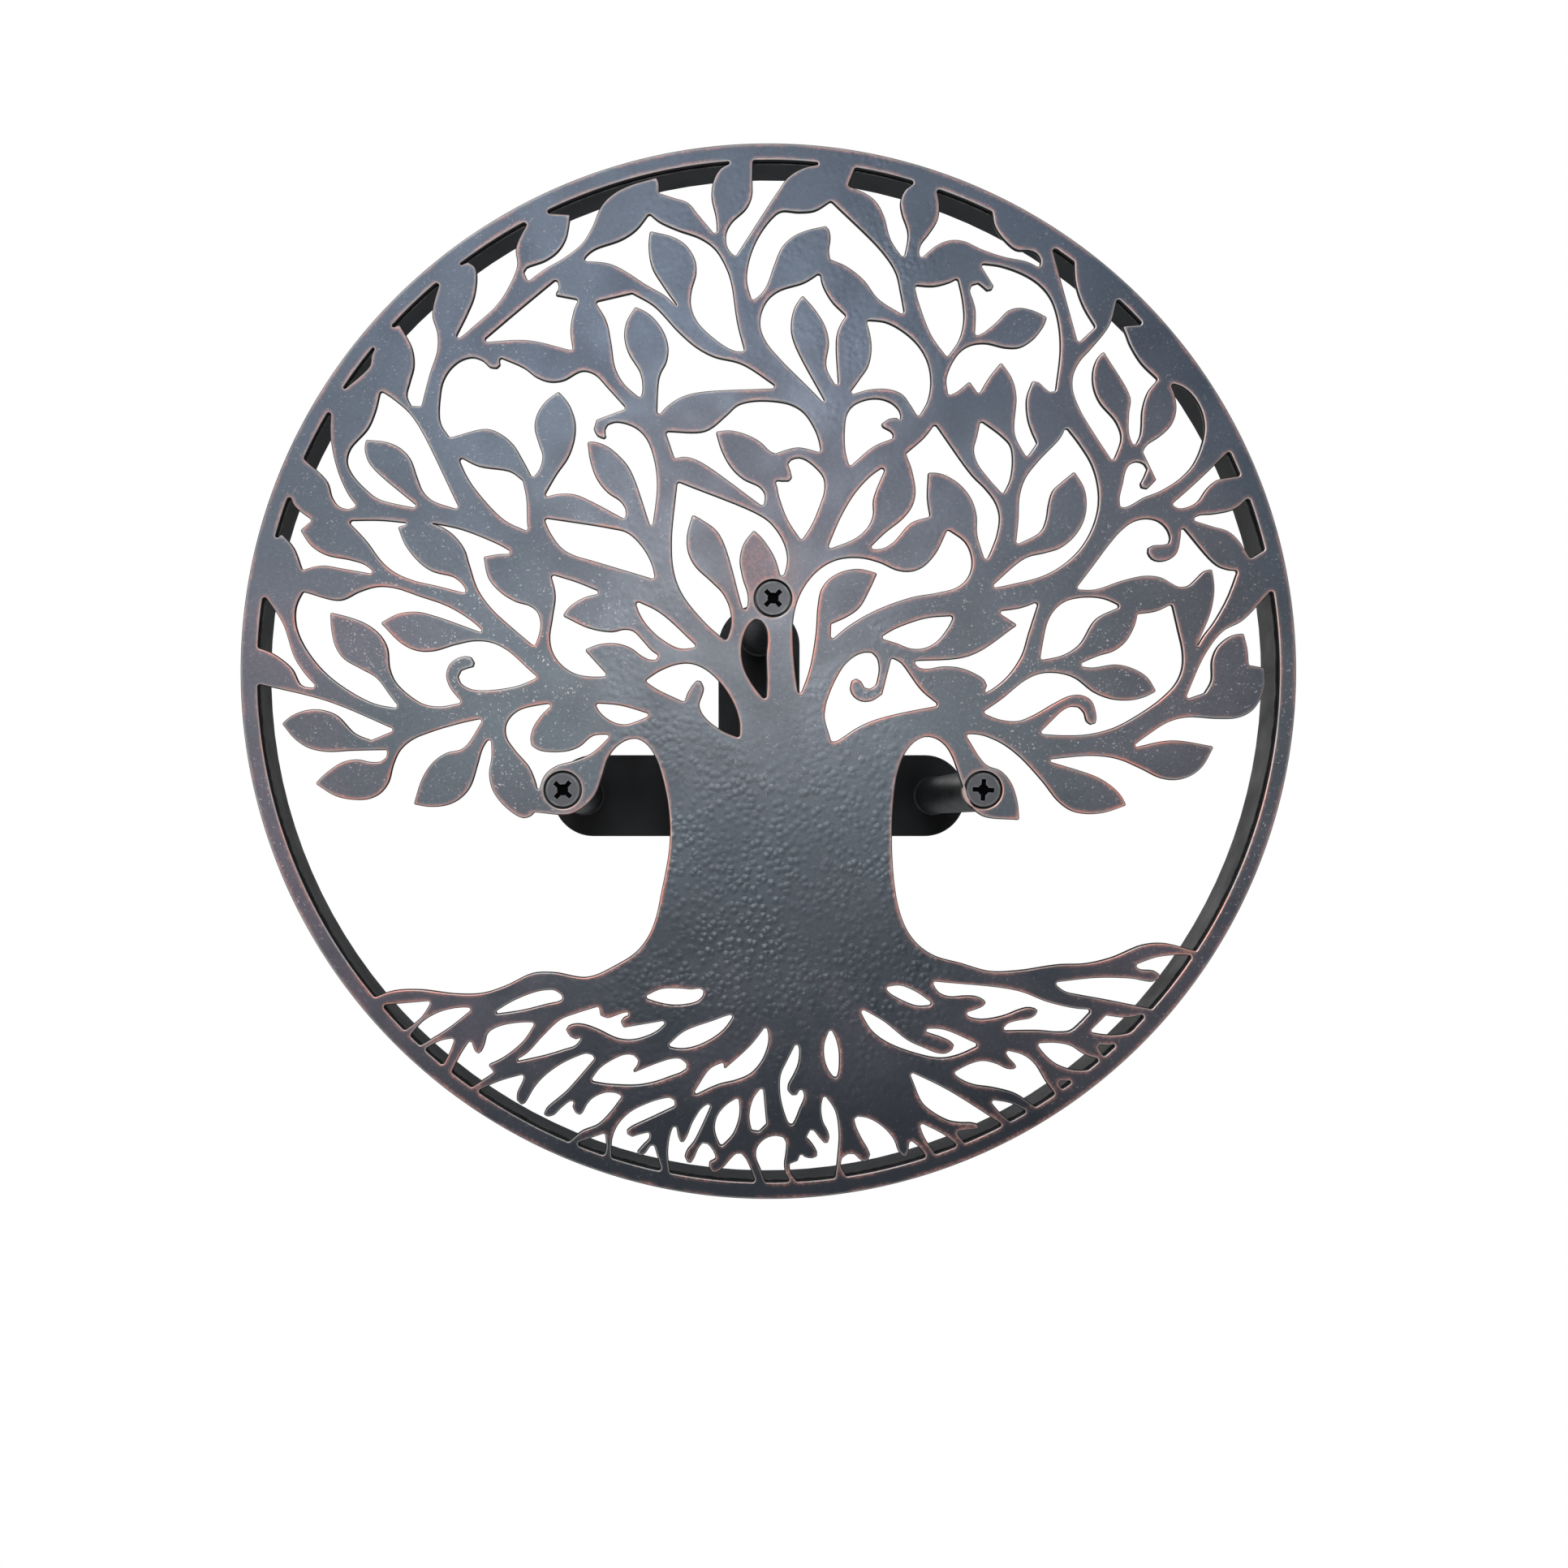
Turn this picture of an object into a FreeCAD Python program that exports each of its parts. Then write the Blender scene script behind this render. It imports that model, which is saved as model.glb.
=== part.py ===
import FreeCAD, Part
import os
import Sketcher

# Garden hose hanger: a cut-out tree panel in a hoop, held off a wall plate by three standoffs.
# The front faces -Y, the wall face of the back plate lies in Y = 0, +Z is up.
# The origin is the middle of the cross bar, between the two wall screws.

Vector = FreeCAD.Vector

doc = FreeCAD.newDocument("HoseHanger")

# Driving dimensions, in millimetres and degrees

DIMENSIONS = [
    ("disc_diameter", 340.0, "outside of the panel's ring"),
    ("ring_width", 5.6, "flat ring round the tree"),
    ("panel_thick", 2.0, "sheet of the panel"),
    ("chord_miss", 0.24, "how far the cut outline's chords may leave its curves"),
    ("panel_shift", -1.5, "panel centre, sideways from the plate's centre"),
    ("panel_rise", 38.2, "panel centre, above the cross bar"),
    ("hoop_depth", 12.5, "flat bar rolled on edge behind the ring"),
    ("hoop_thick", 3.0, "thickness of that bar"),
    ("hoop_inset", 0.5, "how far the hoop stands inside the ring's inner edge"),
    ("plate_thick", 3.0, "flat bar of the back plate"),
    ("bar_width", 31.5, "width of both bars of the back plate"),
    ("bar_overhang", 12.4, "bar beyond the axis of each standoff"),
    ("standoff_spacing", 135.4, "between the two lower standoffs"),
    ("standoff_rise", 61.7, "top standoff above the lower pair"),
    ("standoff_length", 100.0, "from the back plate to the panel"),
    ("standoff_diameter", 14.0, "round bar"),
    ("standoff_foot", 0.6, "weld fillet at the plate"),
    ("tapped_depth", 24.0, "tapped hole in the standoff's front end"),
    ("screw_diameter", 6.0, "shank of the panel screws"),
    ("screw_length", 20.0, "whole length of a panel screw"),
    ("head_diameter", 10.8, "countersunk head"),
    ("head_rim", 0.2, "straight rim of the head"),
    ("head_sink", 0.05, "head below the face of the panel"),
    ("recess_span", 7.0, "cross recess, tip to tip"),
    ("recess_slot", 1.5, "width of one slot of the cross"),
    ("recess_depth", 1.3, "depth of the cross"),
    ("recess_core", 3.6, "round middle of the cross"),
    ("core_depth", 2.4, "depth of that middle"),
    ("screw_land", 0.5, "least metal round a countersink"),
    ("screw_clearance", 0.05, "round the shank in the tapped hole"),
    ("wall_hole_diameter", 6.5, "holes for the wall screws"),
    ("wall_hole_spacing", 50.0, "between the wall holes"),
]

sheet = doc.addObject("Spreadsheet::Sheet", "dims")
for row, (alias, value, meaning) in enumerate(DIMENSIONS, start=1):
    sheet.set("A%d" % row, alias)
    sheet.set("B%d" % row, str(value))
    sheet.set("C%d" % row, meaning)
    sheet.setAlias("B%d" % row, alias)
doc.recompute()


def size(alias):
    return float(getattr(sheet, alias))


# The drawing of the cut-outs
# It is drawn about the disc's centre, x to the right and z up, for a ring of this inner radius,
# and follows the ring when the disc changes. A cut-out is a list of stretches that meet at corners.
# Each stretch is a smooth curve through its points, or a straight cut where it has two.

DRAWN_RADIUS = 164.4

# Cut-outs that open onto the ring: the ring's inner edge closes them between their two ends.

CROWN_CUTS_AT_RING = [
    # left side, from below upwards
    [[(-163, 24.8), (-160.5, 21), (-157, 16.3), (-154.5, 10.5), (-152.3, 3.5), (-149, -1.2),
      (-145.4, -5.2)],
     [(-145.4, -5.2), (-148, -5.2), (-150.5, -4.3)],
     [(-150.5, -4.3), (-153, 0.5), (-156.5, 3.8), (-160, 6), (-164.3, 7.6)]],
    [[(-154.6, 57.5), (-153.2, 54), (-151, 51.3), (-147, 48.6)],
     [(-147, 48.6), (-150.8, 45.4)],
     [(-150.8, 45.4), (-148.5, 41.6), (-145, 38.6), (-139, 36.4), (-133, 35.4), (-128.5, 33.3),
      (-126.3, 31.2)],
     [(-126.3, 31.2), (-131, 30), (-134, 31.4), (-138, 33.4), (-144, 34), (-150, 32.6)],
     [(-150, 32.6), (-151.5, 37), (-153.8, 41.5), (-156.6, 44.3)],
     [(-156.6, 44.3), (-159.4, 42.6)]],
    [[(-141.2, 84.9), (-141.8, 80), (-140.6, 73), (-139.3, 66.5), (-137, 60), (-132.7, 53.2)],
     [(-132.7, 53.2), (-136, 52.3), (-139, 53.8), (-141, 58), (-142.8, 62.7), (-146, 65.8),
      (-150, 68.7)]],
    [[(-126.3, 105.8), (-127.7, 102), (-128.2, 98.5)],
     [(-128.2, 98.5), (-131, 95.9), (-134.4, 92.8), (-138.2, 89.9)]],
    [[(-105.9, 126.3), (-107.8, 122.8), (-108.7, 117.5), (-107.2, 111), (-106.4, 106), (-107.7, 100),
      (-110, 92.5), (-111.4, 86.3), (-112.9, 84.2), (-115.4, 86.2), (-116.3, 89.5), (-114.6, 95),
      (-114, 100.5), (-115.3, 106), (-118.6, 111.6)],
     [(-118.6, 111.6), (-122, 110.5)]],
    [[(-77.2, 145.4), (-79.8, 141.5), (-81.3, 136.5), (-80.9, 131), (-83, 125.5), (-86, 119.6),
      (-92, 114), (-97, 109.3), (-101.2, 106.3)],
     [(-101.2, 106.3), (-102.4, 109.6), (-98, 113.8), (-95, 119), (-93.9, 125), (-94.6, 130.5),
      (-96.6, 131.8)],
     [(-96.6, 131.8), (-100.4, 130.4)]],
    # top, from left to right
    [[(-10.8, 164.1), (-15.5, 161.7), (-18, 157), (-18.2, 151.5), (-16.8, 145.5), (-16.6, 140)],
     [(-16.6, 140), (-20.3, 142.8), (-22.6, 147.3), (-26, 151), (-31, 152.6), (-35.2, 154)],
     [(-35.2, 154), (-35.1, 157), (-36, 159)],
     [(-36, 159), (-43, 157), (-49.5, 154), (-54.3, 149), (-57.5, 141.5), (-61.5, 136.3), (-69, 131.3),
      (-77.4, 125.6)],
     [(-77.4, 125.6), (-78, 129.7), (-75, 130.9), (-70.5, 132.8), (-66, 137.3), (-64.2, 142.5),
      (-63.6, 147)],
     [(-63.6, 147), (-67.5, 147.1), (-72.6, 147.6)]],
    [[(-4.9, 163.9), (-5, 157), (-5.3, 152.5), (-8, 147.8), (-12.3, 143.7), (-13.6, 139.5),
      (-10.6, 133.6)],
     [(-10.6, 133.6), (-7.5, 139.5), (-3.5, 144), (0.5, 149), (3.5, 155.5), (7.5, 160), (12, 162.3),
      (17.8, 163.2)]],
    [[(28, 161.9), (25.7, 156.2)],
     [(25.7, 156.2), (29.5, 154.8), (33.5, 152.5), (36.8, 148), (38.8, 141), (40.8, 136.3),
      (43.6, 132.7)],
     [(43.6, 132.7), (44.7, 137), (44.4, 143.5), (42.4, 149.5), (43.2, 153.6), (47.3, 157.2)]],
    [[(54, 154.8), (55.1, 150), (54.3, 144.5), (51, 139.8), (48.7, 136), (49.2, 133)],
     [(49.2, 133), (52.5, 136), (57, 138.5), (62, 138.8), (67, 136.8), (73, 134.2), (80, 132.8),
      (87.3, 130)],
     [(87.3, 130), (87.4, 132.8), (85.3, 135), (80.3, 135.4), (76, 138.7), (73, 142.8), (71.7, 147.3)]],
    [[(90.9, 136.2), (91.4, 131), (94.2, 124.5), (97.2, 117), (98.4, 109), (99.8, 105.7)],
     [(99.8, 105.7), (102.3, 108.2), (105.2, 110.8)],
     [(105.2, 110.8), (103, 114.8), (100.5, 119), (98.9, 124.5), (97.9, 131)]],
    # right side, from above downwards
    [[(112, 119.6), (111.6, 115.5), (108.8, 109.5), (104, 103.8), (99.6, 98.5), (98, 93.5),
      (99.3, 86.8),
      (103.5, 79), (108.3, 71.5), (111, 67.5)],
     [(111, 67.5), (112.5, 71), (113.4, 76.8), (110, 82.5), (106, 87.5), (104.3, 94), (105.2, 99.5),
      (108, 103.1)],
     [(108, 103.1), (112.5, 99), (115.8, 93.5), (116.7, 88), (116, 80.5), (116.4, 76), (117.8, 72.9),
      (119.5, 75.5), (120, 81), (121.3, 88), (125.3, 93.9)],
     [(125.3, 93.9), (120.7, 98.3), (117, 103.5), (115, 108.5), (113.8, 111.1)],
     [(113.8, 111.1), (120.3, 111.2)]],
    [[(148.2, 70.7), (144, 66.2), (138, 60.8), (133, 56.6), (130, 53.7)],
     [(130, 53.7), (131.8, 52.6), (135, 52.9), (138, 54.5), (141.2, 58.9), (144.5, 61.6),
      (148.5, 62.4), (151.9, 62.9)]],
    [[(154.6, 55.8), (152.3, 53), (149, 51.8), (144, 50.6), (139, 50.2), (136.3, 48.8)],
     [(136.3, 48.8), (140, 47.2), (146, 46), (149.8, 44), (152.8, 40.2), (155.1, 36.3)],
     [(155.1, 36.3), (159.4, 39)]],
]

# The two great gaps beside the trunk, with the leaves that hang into them.

GREAT_CUTS_AT_RING = [
    # left of the trunk
    [[(-164.4, -4.2), (-160.5, -7.4), (-154.5, -9.1), (-146, -9.1), (-139, -10.7), (-131, -14.4),
      (-124, -17.1), (-120.1, -18.9)],
     [(-120.1, -18.9), (-124, -21.2), (-129.5, -22), (-133, -20), (-138, -14.8), (-144.5, -12.3),
      (-151, -13.1), (-156.7, -16.9)],
     [(-156.7, -16.9), (-152.5, -21.9), (-147, -25.2), (-140, -26), (-131, -25.4), (-122.7, -25.4)],
     [(-122.7, -25.4), (-123.3, -28), (-126, -29.3), (-131, -28.5), (-137.5, -29.4), (-142, -32.3),
      (-146, -36.2)],
     [(-146, -36.2), (-140, -40), (-133, -41.5), (-126.5, -40.4), (-122.3, -36), (-120.3, -29),
      (-117, -23.8), (-110.5, -20.3), (-100, -17), (-91.7, -15.2)],
     [(-91.7, -15.2), (-93, -20), (-98, -24.6), (-104, -26.4), (-109.7, -31.3), (-112.8, -37.5),
      (-114.3, -42.9)],
     [(-114.3, -42.9), (-107, -43.7), (-101, -42.2), (-96, -37.4), (-94, -32), (-92.2, -25.5),
      (-89.4, -21)],
     [(-89.4, -21), (-88.9, -25), (-90, -32.5), (-88.3, -39.5), (-83.5, -44.8), (-78.5, -47.4),
      (-75.3, -45.5)],
     [(-75.3, -45.5), (-71.5, -47.4), (-65, -46.4), (-58.8, -43.3), (-54.8, -38), (-52.8, -31.5),
      (-49.8, -25.3), (-42, -21.9), (-38, -25), (-35, -31.5), (-32.8, -40), (-31.8, -50), (-32.3, -60),
      (-34.3, -70), (-38.5, -85), (-45, -92.3), (-54, -96.6), (-61.5, -99), (-69, -96.9), (-76, -97.2),
      (-84, -100.9), (-94, -103.8), (-108, -102.8), (-126.8, -105)]],
    # right of the trunk
    [[(162.3, 26.3), (160, 21.3), (156, 17.5), (149, 14.8), (144.5, 10.5), (140, 4), (137.2, -2.8),
      (134.3, -9.1)],
     [(134.3, -9.1), (138.5, -8.2), (142, -5), (142.5, 1), (144, 7), (148.2, 11), (153.1, 12.2)],
     [(153.1, 12.2), (154.2, 8), (154.8, 2)],
     [(154.8, 2), (158.6, 3.2), (160, -2.5), (158.7, -8.7), (155.3, -13.2), (150.5, -15.2),
      (144, -15.3),
      (137, -14.8), (130.5, -15.8), (124, -19.3), (116.7, -24.8)],
     [(116.7, -24.8), (122, -26.2), (127, -23.4), (133, -21.7), (139, -22.4), (143.6, -24.2)],
     [(143.6, -24.2), (140.5, -30), (135.5, -34), (128.5, -35), (122, -32.5), (115, -29.1),
      (107, -27.4),
      (98, -27.6), (89.2, -28.6)],
     [(89.2, -28.6), (94, -32.3), (101, -32.4), (108, -35.2), (113, -39.2), (115.4, -43.2)],
     [(115.4, -43.2), (109.5, -45.3), (102, -46), (96, -44.2), (90.5, -38.5), (85, -31.7), (79, -26),
      (72.5, -21.9), (63.5, -20.3)],
     [(63.5, -20.3), (64, -25), (66.7, -28.7), (72, -30.5), (77, -34), (80, -40.5), (80.9, -48)],
     [(80.9, -48), (74, -47.8), (68, -46.2), (63.8, -41.5), (61.6, -34.5), (59.3, -27.8), (55.5, -22.6),
      (50.5, -21.2), (45.8, -24.1), (42, -31.5), (40.4, -41), (39.8, -52), (40.2, -63), (42, -76),
      (46.5, -86), (53.5, -91.5), (63, -94.2), (72, -96.6), (82, -96), (93, -94.4), (104, -93.8),
      (112.5, -91.3), (119, -88.5), (126, -87.4), (132, -88.5), (137.9, -90.2)]],
]

# Cut-outs inside the crown, from left to right.

CROWN_CUTS = [
    [[(-124.8, 90.2), (-126.3, 84), (-130, 76.5), (-134.8, 71), (-135.4, 66.5), (-131.8, 61),
      (-126, 55.8),
      (-119, 53.7), (-112.2, 52.3)],
     [(-112.2, 52.3), (-115.5, 57), (-121.5, 60.6), (-127, 64.8), (-129.8, 70), (-129.6, 74.6)],
     [(-129.6, 74.6), (-124, 74.1), (-118.5, 71.9), (-114.6, 67.3), (-112, 59.5), (-109, 55.6),
      (-104, 53.4),
      (-99.4, 52)],
     [(-99.4, 52), (-102.5, 58.2), (-106.8, 65.5), (-109.5, 73), (-113, 79.7), (-118, 85.3),
      (-124.8, 90.2)]],
    [[(-135.5, 48.4), (-126, 48.5), (-115.2, 47.6)],
     [(-115.2, 47.6), (-119.4, 46.5)],
     [(-119.4, 46.5), (-117.5, 41.5), (-113.5, 36), (-108, 32), (-101.5, 30.3), (-98.6, 28),
      (-97.3, 25.1)],
     [(-97.3, 25.1), (-103, 26.8), (-111, 28.3), (-118, 30.8), (-123, 33.8), (-127, 39), (-131, 43.8),
      (-135.5, 48.4)]],
    [[(-149.8, 25.5), (-146, 24.2), (-141, 22.3), (-135.5, 23.7), (-129.5, 26.3), (-123, 27.2),
      (-115, 24.9),
      (-107, 22.4), (-99, 18.5), (-91, 12)],
     [(-91, 12), (-97, 12.9), (-104, 16.2), (-110, 18.7), (-117, 19), (-125, 15.6)],
     [(-125, 15.6), (-120.5, 10.8), (-115, 7.1), (-109, 6.3), (-101, 8.4), (-94, 9.7), (-87, 8.4),
      (-80.5, 3.6), (-74.2, -2)],
     [(-74.2, -2), (-75.5, -3.2), (-83, -5), (-91, -6.1), (-97, -5.2), (-99.8, -2), (-98, 0.7),
      (-94.8, 1.5),
      (-95, 4), (-99, 4.6), (-103, 1.8), (-103.6, -3), (-101, -7.4), (-98.7, -10.1)],
     [(-98.7, -10.1), (-104, -11.2), (-110.5, -10.7), (-117, -6.5), (-121.5, -0.5), (-122.3, 6.5),
      (-126.5, 13.3), (-133.5, 17), (-141.2, 19)],
     [(-141.2, 19), (-140.6, 12), (-137.8, 5), (-131.5, 0.8), (-125.7, -2.7), (-121.8, -8),
      (-118.7, -12)],
     [(-118.7, -12), (-124, -11.5), (-131, -8.3), (-138, -4.2), (-144, 1), (-149, 7.6), (-151.8, 14),
      (-149.8, 25.5)]],
    [[(-110, 47.9), (-102, 46.5), (-95, 44.2), (-88, 41.3), (-81.8, 37.8)],
     [(-81.8, 37.8), (-87, 37.7), (-91.8, 36.9)],
     [(-91.8, 36.9), (-90.8, 31), (-87, 26), (-81, 22.2), (-75.3, 20), (-73.5, 16), (-74.2, 11),
      (-75.3, 8)],
     [(-75.3, 8), (-80.5, 12.5), (-87, 18), (-92, 24), (-95.3, 30.5), (-97.2, 38), (-101, 43.6),
      (-110, 47.9)]],
    [[(-99.9, 69.2), (-95.5, 66.8), (-90, 65.1), (-84, 64.4), (-79.6, 62), (-78.1, 57), (-77.9, 50),
      (-77.2, 45)],
     [(-77.2, 45), (-80.3, 45.3), (-86, 49.8), (-91.5, 55.3), (-96.5, 62), (-99.9, 69.2)]],
    [[(-102.6, 75.3), (-105.2, 79), (-105.7, 86), (-104.3, 94), (-100.5, 98.9), (-95.5, 100.9),
      (-92, 99.9),
      (-89.5, 97.7), (-87.3, 97.5), (-86.6, 101)],
     [(-86.6, 101), (-81.5, 99.6), (-77, 96.2), (-72, 93.4), (-66, 93.5), (-61.5, 95.8), (-58.3, 96.8),
      (-54, 93.3), (-49.5, 89), (-45.8, 84.6)],
     [(-45.8, 84.6), (-50.5, 84), (-54.5, 82), (-56.3, 78.8), (-54.8, 75.5), (-52.3, 74.9),
      (-52.4, 78.2),
      (-50, 80), (-45.5, 79.5), (-41, 77), (-38, 72), (-36.3, 65), (-36, 56), (-37.5, 45.4)],
     [(-37.5, 45.4), (-41.5, 49.3), (-43.4, 53), (-42.7, 60), (-45, 65.8), (-49.5, 70.8), (-54, 73.5),
      (-58.3, 73.9)],
     [(-58.3, 73.9), (-57.5, 68), (-55.5, 62.3), (-51.5, 57.3), (-47.4, 54.4), (-46.2, 49)],
     [(-46.2, 49), (-51, 50.6), (-56.5, 54.4), (-62, 56.9), (-67, 57.2), (-72.4, 55.9)],
     [(-72.4, 55.9), (-68.5, 62.8), (-64, 69.5), (-62.2, 75.5), (-62.4, 82), (-64.8, 87),
      (-67.6, 90.1)],
     [(-67.6, 90.1), (-72.3, 86.3), (-75.2, 80.5), (-74.7, 75), (-72.8, 69.5), (-73.8, 65),
      (-75.9, 62.2)],
     [(-75.9, 62.2), (-78.7, 67.5), (-82.3, 73.3), (-87, 76.9), (-92.5, 78.2), (-97.5, 77.1),
      (-102.6, 75.3)]],
    [[(-68.2, 126.2), (-74, 121.6), (-80.5, 116), (-86.5, 110.6), (-92.3, 106)],
     [(-92.3, 106), (-88, 105), (-80, 106.3), (-72.5, 106.4), (-67.5, 104.8), (-63, 103.3)],
     [(-63, 103.3), (-63.8, 109), (-63.2, 114.5), (-61.2, 119.6)],
     [(-61.2, 119.6), (-68.9, 121)],
     [(-68.9, 121), (-67.6, 123.5), (-68.2, 126.2)]],
    [[(-72.2, 49.3), (-68, 46.5), (-61, 45), (-54.5, 45.4), (-48.5, 45.9), (-43.5, 43),
      (-39.2, 37.8), (-36.5, 29.6)],
     [(-36.5, 29.6), (-38.3, 28.8), (-45, 31.5), (-52, 34.3), (-59, 36.3), (-65.5, 38.9), (-69.5, 43.5),
      (-72.2, 49.3)]],
    [[(-70, 31.2), (-64, 29.4), (-53.4, 25.2)],
     [(-53.4, 25.2), (-57.5, 24.4), (-62, 22.4), (-66.3, 17.8)],
     [(-66.3, 17.8), (-60, 14.9), (-54, 12.6), (-49, 12.8), (-45, 13.4), (-41, 10.4), (-35.3, 5)],
     [(-35.3, 5), (-35.8, 4), (-39.5, 4.3), (-44.5, 7.7), (-50, 9.1), (-55, 8.6), (-59.3, 6.9)],
     [(-59.3, 6.9), (-55, 2.5), (-51.6, -1.6)],
     [(-51.6, -1.6), (-56, -1.7), (-62, -0.8), (-67, 2.6), (-70, 8), (-69.8, 15), (-68.5, 24),
      (-70, 31.2)]],
    [[(-68.8, -10.3), (-76, -11.3), (-82, -13.8), (-84.6, -18.5), (-82.7, -24), (-78.5, -28.6),
      (-75.6, -33.5),
      (-74.3, -39.6)],
     [(-74.3, -39.6), (-73, -35), (-70.3, -31.6), (-64.5, -29.3), (-58, -27), (-54, -24),
      (-50.5, -20.4)],
     [(-50.5, -20.4), (-54.3, -19.6), (-58, -22.2), (-63, -25.4), (-70, -25.9), (-76.2, -24.2),
      (-76.3, -19.5),
      (-73.3, -14.3), (-68.8, -10.3)]],
    [[(-55.9, -10.3), (-50, -10.6), (-43.5, -12.2), (-37.6, -14)],
     [(-37.6, -14), (-42, -15.9), (-46.5, -17.1), (-51.3, -15.6), (-55.9, -10.3)]],
    [[(-55.6, 118.9), (-50.5, 120.7), (-46.5, 122.1), (-42, 120.8), (-36, 116.8), (-30, 110.3),
      (-24, 104.8),
      (-17, 101), (-9, 99), (-3, 95.6), (3.2, 91.2)],
     [(3.2, 91.2), (-3, 90), (-10, 89.3), (-18, 90), (-25, 89.4), (-30, 87.3), (-35.8, 81.6)],
     [(-35.8, 81.6), (-36.8, 86.5), (-36, 92.5), (-33, 98.8), (-32.1, 104), (-34, 110),
      (-38, 114.8), (-42.9, 117.4)],
     [(-42.9, 117.4), (-45.6, 113), (-46.4, 107), (-44.3, 101), (-41.3, 96), (-40.6, 91),
      (-41.2, 87.9)],
     [(-41.2, 87.9), (-45, 91), (-48.8, 96.6), (-50.3, 104), (-51.8, 112), (-55.6, 118.9)]],
    [[(-38.3, 147.2), (-42.5, 142), (-46.5, 139.2), (-52, 137.3), (-57, 135), (-59.6, 132.2)],
     [(-59.6, 132.2), (-57, 131.2), (-51, 131.2), (-46.5, 129), (-41, 125.3), (-34.5, 122),
      (-31.5, 119.5),
      (-28.4, 116.2)],
     [(-28.4, 116.2), (-28.4, 120), (-30.5, 122.8), (-34.5, 124.8), (-37.5, 130), (-38.6, 136),
      (-38.2, 141.8)],
     [(-38.2, 141.8), (-33.5, 140.4), (-29, 139.3), (-25, 135.3), (-23, 130.5), (-24.4, 123.5),
      (-24.7, 117),
      (-22, 111.5), (-16, 106.2), (-11, 103.3), (-7.7, 103)],
     [(-7.7, 103), (-9.5, 109.5), (-11, 118), (-12, 125), (-14.8, 132.3), (-19, 137.6), (-25, 140.5),
      (-31.5, 142.8), (-38.3, 147.2)]],
    [[(-33, 77.1), (-28, 76.4), (-22, 76.6), (-17.5, 78.8), (-13.5, 82.2), (-9.5, 85.7), (-3, 86.9),
      (4, 86.5),
      (10, 84.3), (14.3, 79), (16.5, 73), (16.9, 70.5)],
     [(16.9, 70.5), (11.5, 71.9), (6.5, 71.8), (2, 70.2), (-1.5, 73), (-7, 76.3), (-17, 77.2)],
     [(-17, 77.2), (-15.3, 71.5), (-12, 65.5), (-7, 61.2), (-2.8, 59.2), (-1.7, 53.1)],
     [(-1.7, 53.1), (-7, 56), (-12, 60.5), (-16.5, 65), (-22, 67.6), (-26, 69), (-30.1, 68.5)],
     [(-30.1, 68.5), (-31.2, 72.5), (-33, 77.1)]],
    [[(-29.2, 61), (-25.5, 56.5), (-20, 53.3), (-12, 52.2), (-5, 51.2), (0, 48.2), (4, 43.2),
      (6, 37), (4.2, 29.9)],
     [(4.2, 29.9), (2.6, 35.5), (-0.8, 41.5), (-4.7, 45.5)],
     [(-4.7, 45.5), (-8.5, 39.8), (-9.2, 33.5), (-7.3, 27), (-6.6, 22), (-7.9, 19.2)],
     [(-7.9, 19.2), (-11.3, 23.5), (-12.3, 30), (-12, 36.5), (-14.5, 42.6), (-19.5, 47.6),
      (-24.5, 50.5)],
     [(-24.5, 50.5), (-26.3, 43.5), (-25.3, 36.5), (-21, 31), (-15.5, 26), (-12.6, 20.5),
      (-12.4, 13), (-13.6, 9.8)],
     [(-13.6, 9.8), (-18.5, 13.9), (-24.5, 20.6), (-28.8, 27), (-30.8, 36), (-30.8, 47), (-29.2, 61)]],
    [[(-42.9, 22.8), (-36.5, 19.8), (-30, 14.9), (-22.8, 7.8)],
     [(-22.8, 7.8), (-24.5, 7), (-30, 8), (-35.5, 11.3), (-39.5, 15.5), (-42.9, 22.8)]],
    [[(-39.7, -3.1), (-35.5, -0.3), (-30, 2), (-24, 2.2), (-18.5, -0.8), (-13.3, -6.8), (-9.9, -14),
      (-9.3, -21.4)],
     [(-9.3, -21.4), (-15, -19), (-20.3, -14.8), (-22.2, -10.8), (-20.7, -5.3), (-22.2, -2.8),
      (-25, -5.2),
      (-27, -9.9)],
     [(-27, -9.9), (-33, -7.3), (-39.7, -3.1)]],
    [[(-0.8, -9.7), (-4.5, -5), (-7.6, 0.5), (-8.6, 7), (-7.2, 13), (-3.6, 16.7), (-1.1, 14.5),
      (-0.6, 7),
      (-0.5, -2), (-0.8, -9.7)]],
    [[(-5.2, 119.3), (-6.6, 123.5), (-6.3, 131), (-3.8, 138.5), (0, 144.2), (4, 147.9),
      (9.5, 147.7), (15, 148.2),
      (20.2, 151.3)],
     [(20.2, 151.3), (23, 145.7), (27.5, 141.3), (34, 137.2), (39, 132.2), (41.9, 125), (43, 118.5),
      (43.8, 114.6)],
     [(43.8, 114.6), (40, 115), (36.5, 118.5), (32, 124.7), (27.5, 128.9), (20, 132.7)],
     [(20, 132.7), (19.8, 137), (19.9, 141.5), (18.6, 143.4)],
     [(18.6, 143.4), (13, 142.2), (7, 139.4), (3, 134.3), (0.8, 127.5), (-1.8, 122.3), (-5.2, 119.3)]],
    [[(16.7, 128.2), (13, 125.6), (6, 123.4), (1, 120.7), (-1.9, 116), (-2.3, 110), (0.5, 104.5),
      (6.5, 98),
      (13, 91.5), (18.9, 85.4)],
     [(18.9, 85.4), (18.3, 90), (15, 96), (10.5, 101.3), (7.7, 107.5), (7.4, 113.5), (11, 121.2)],
     [(11, 121.2), (15.5, 116), (18.8, 110), (19.5, 103.5), (18.8, 98), (20.3, 94), (22.5, 90.8)],
     [(22.5, 90.8), (23.4, 96.5), (21.9, 102), (22, 108.5), (25, 114.4)],
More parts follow.
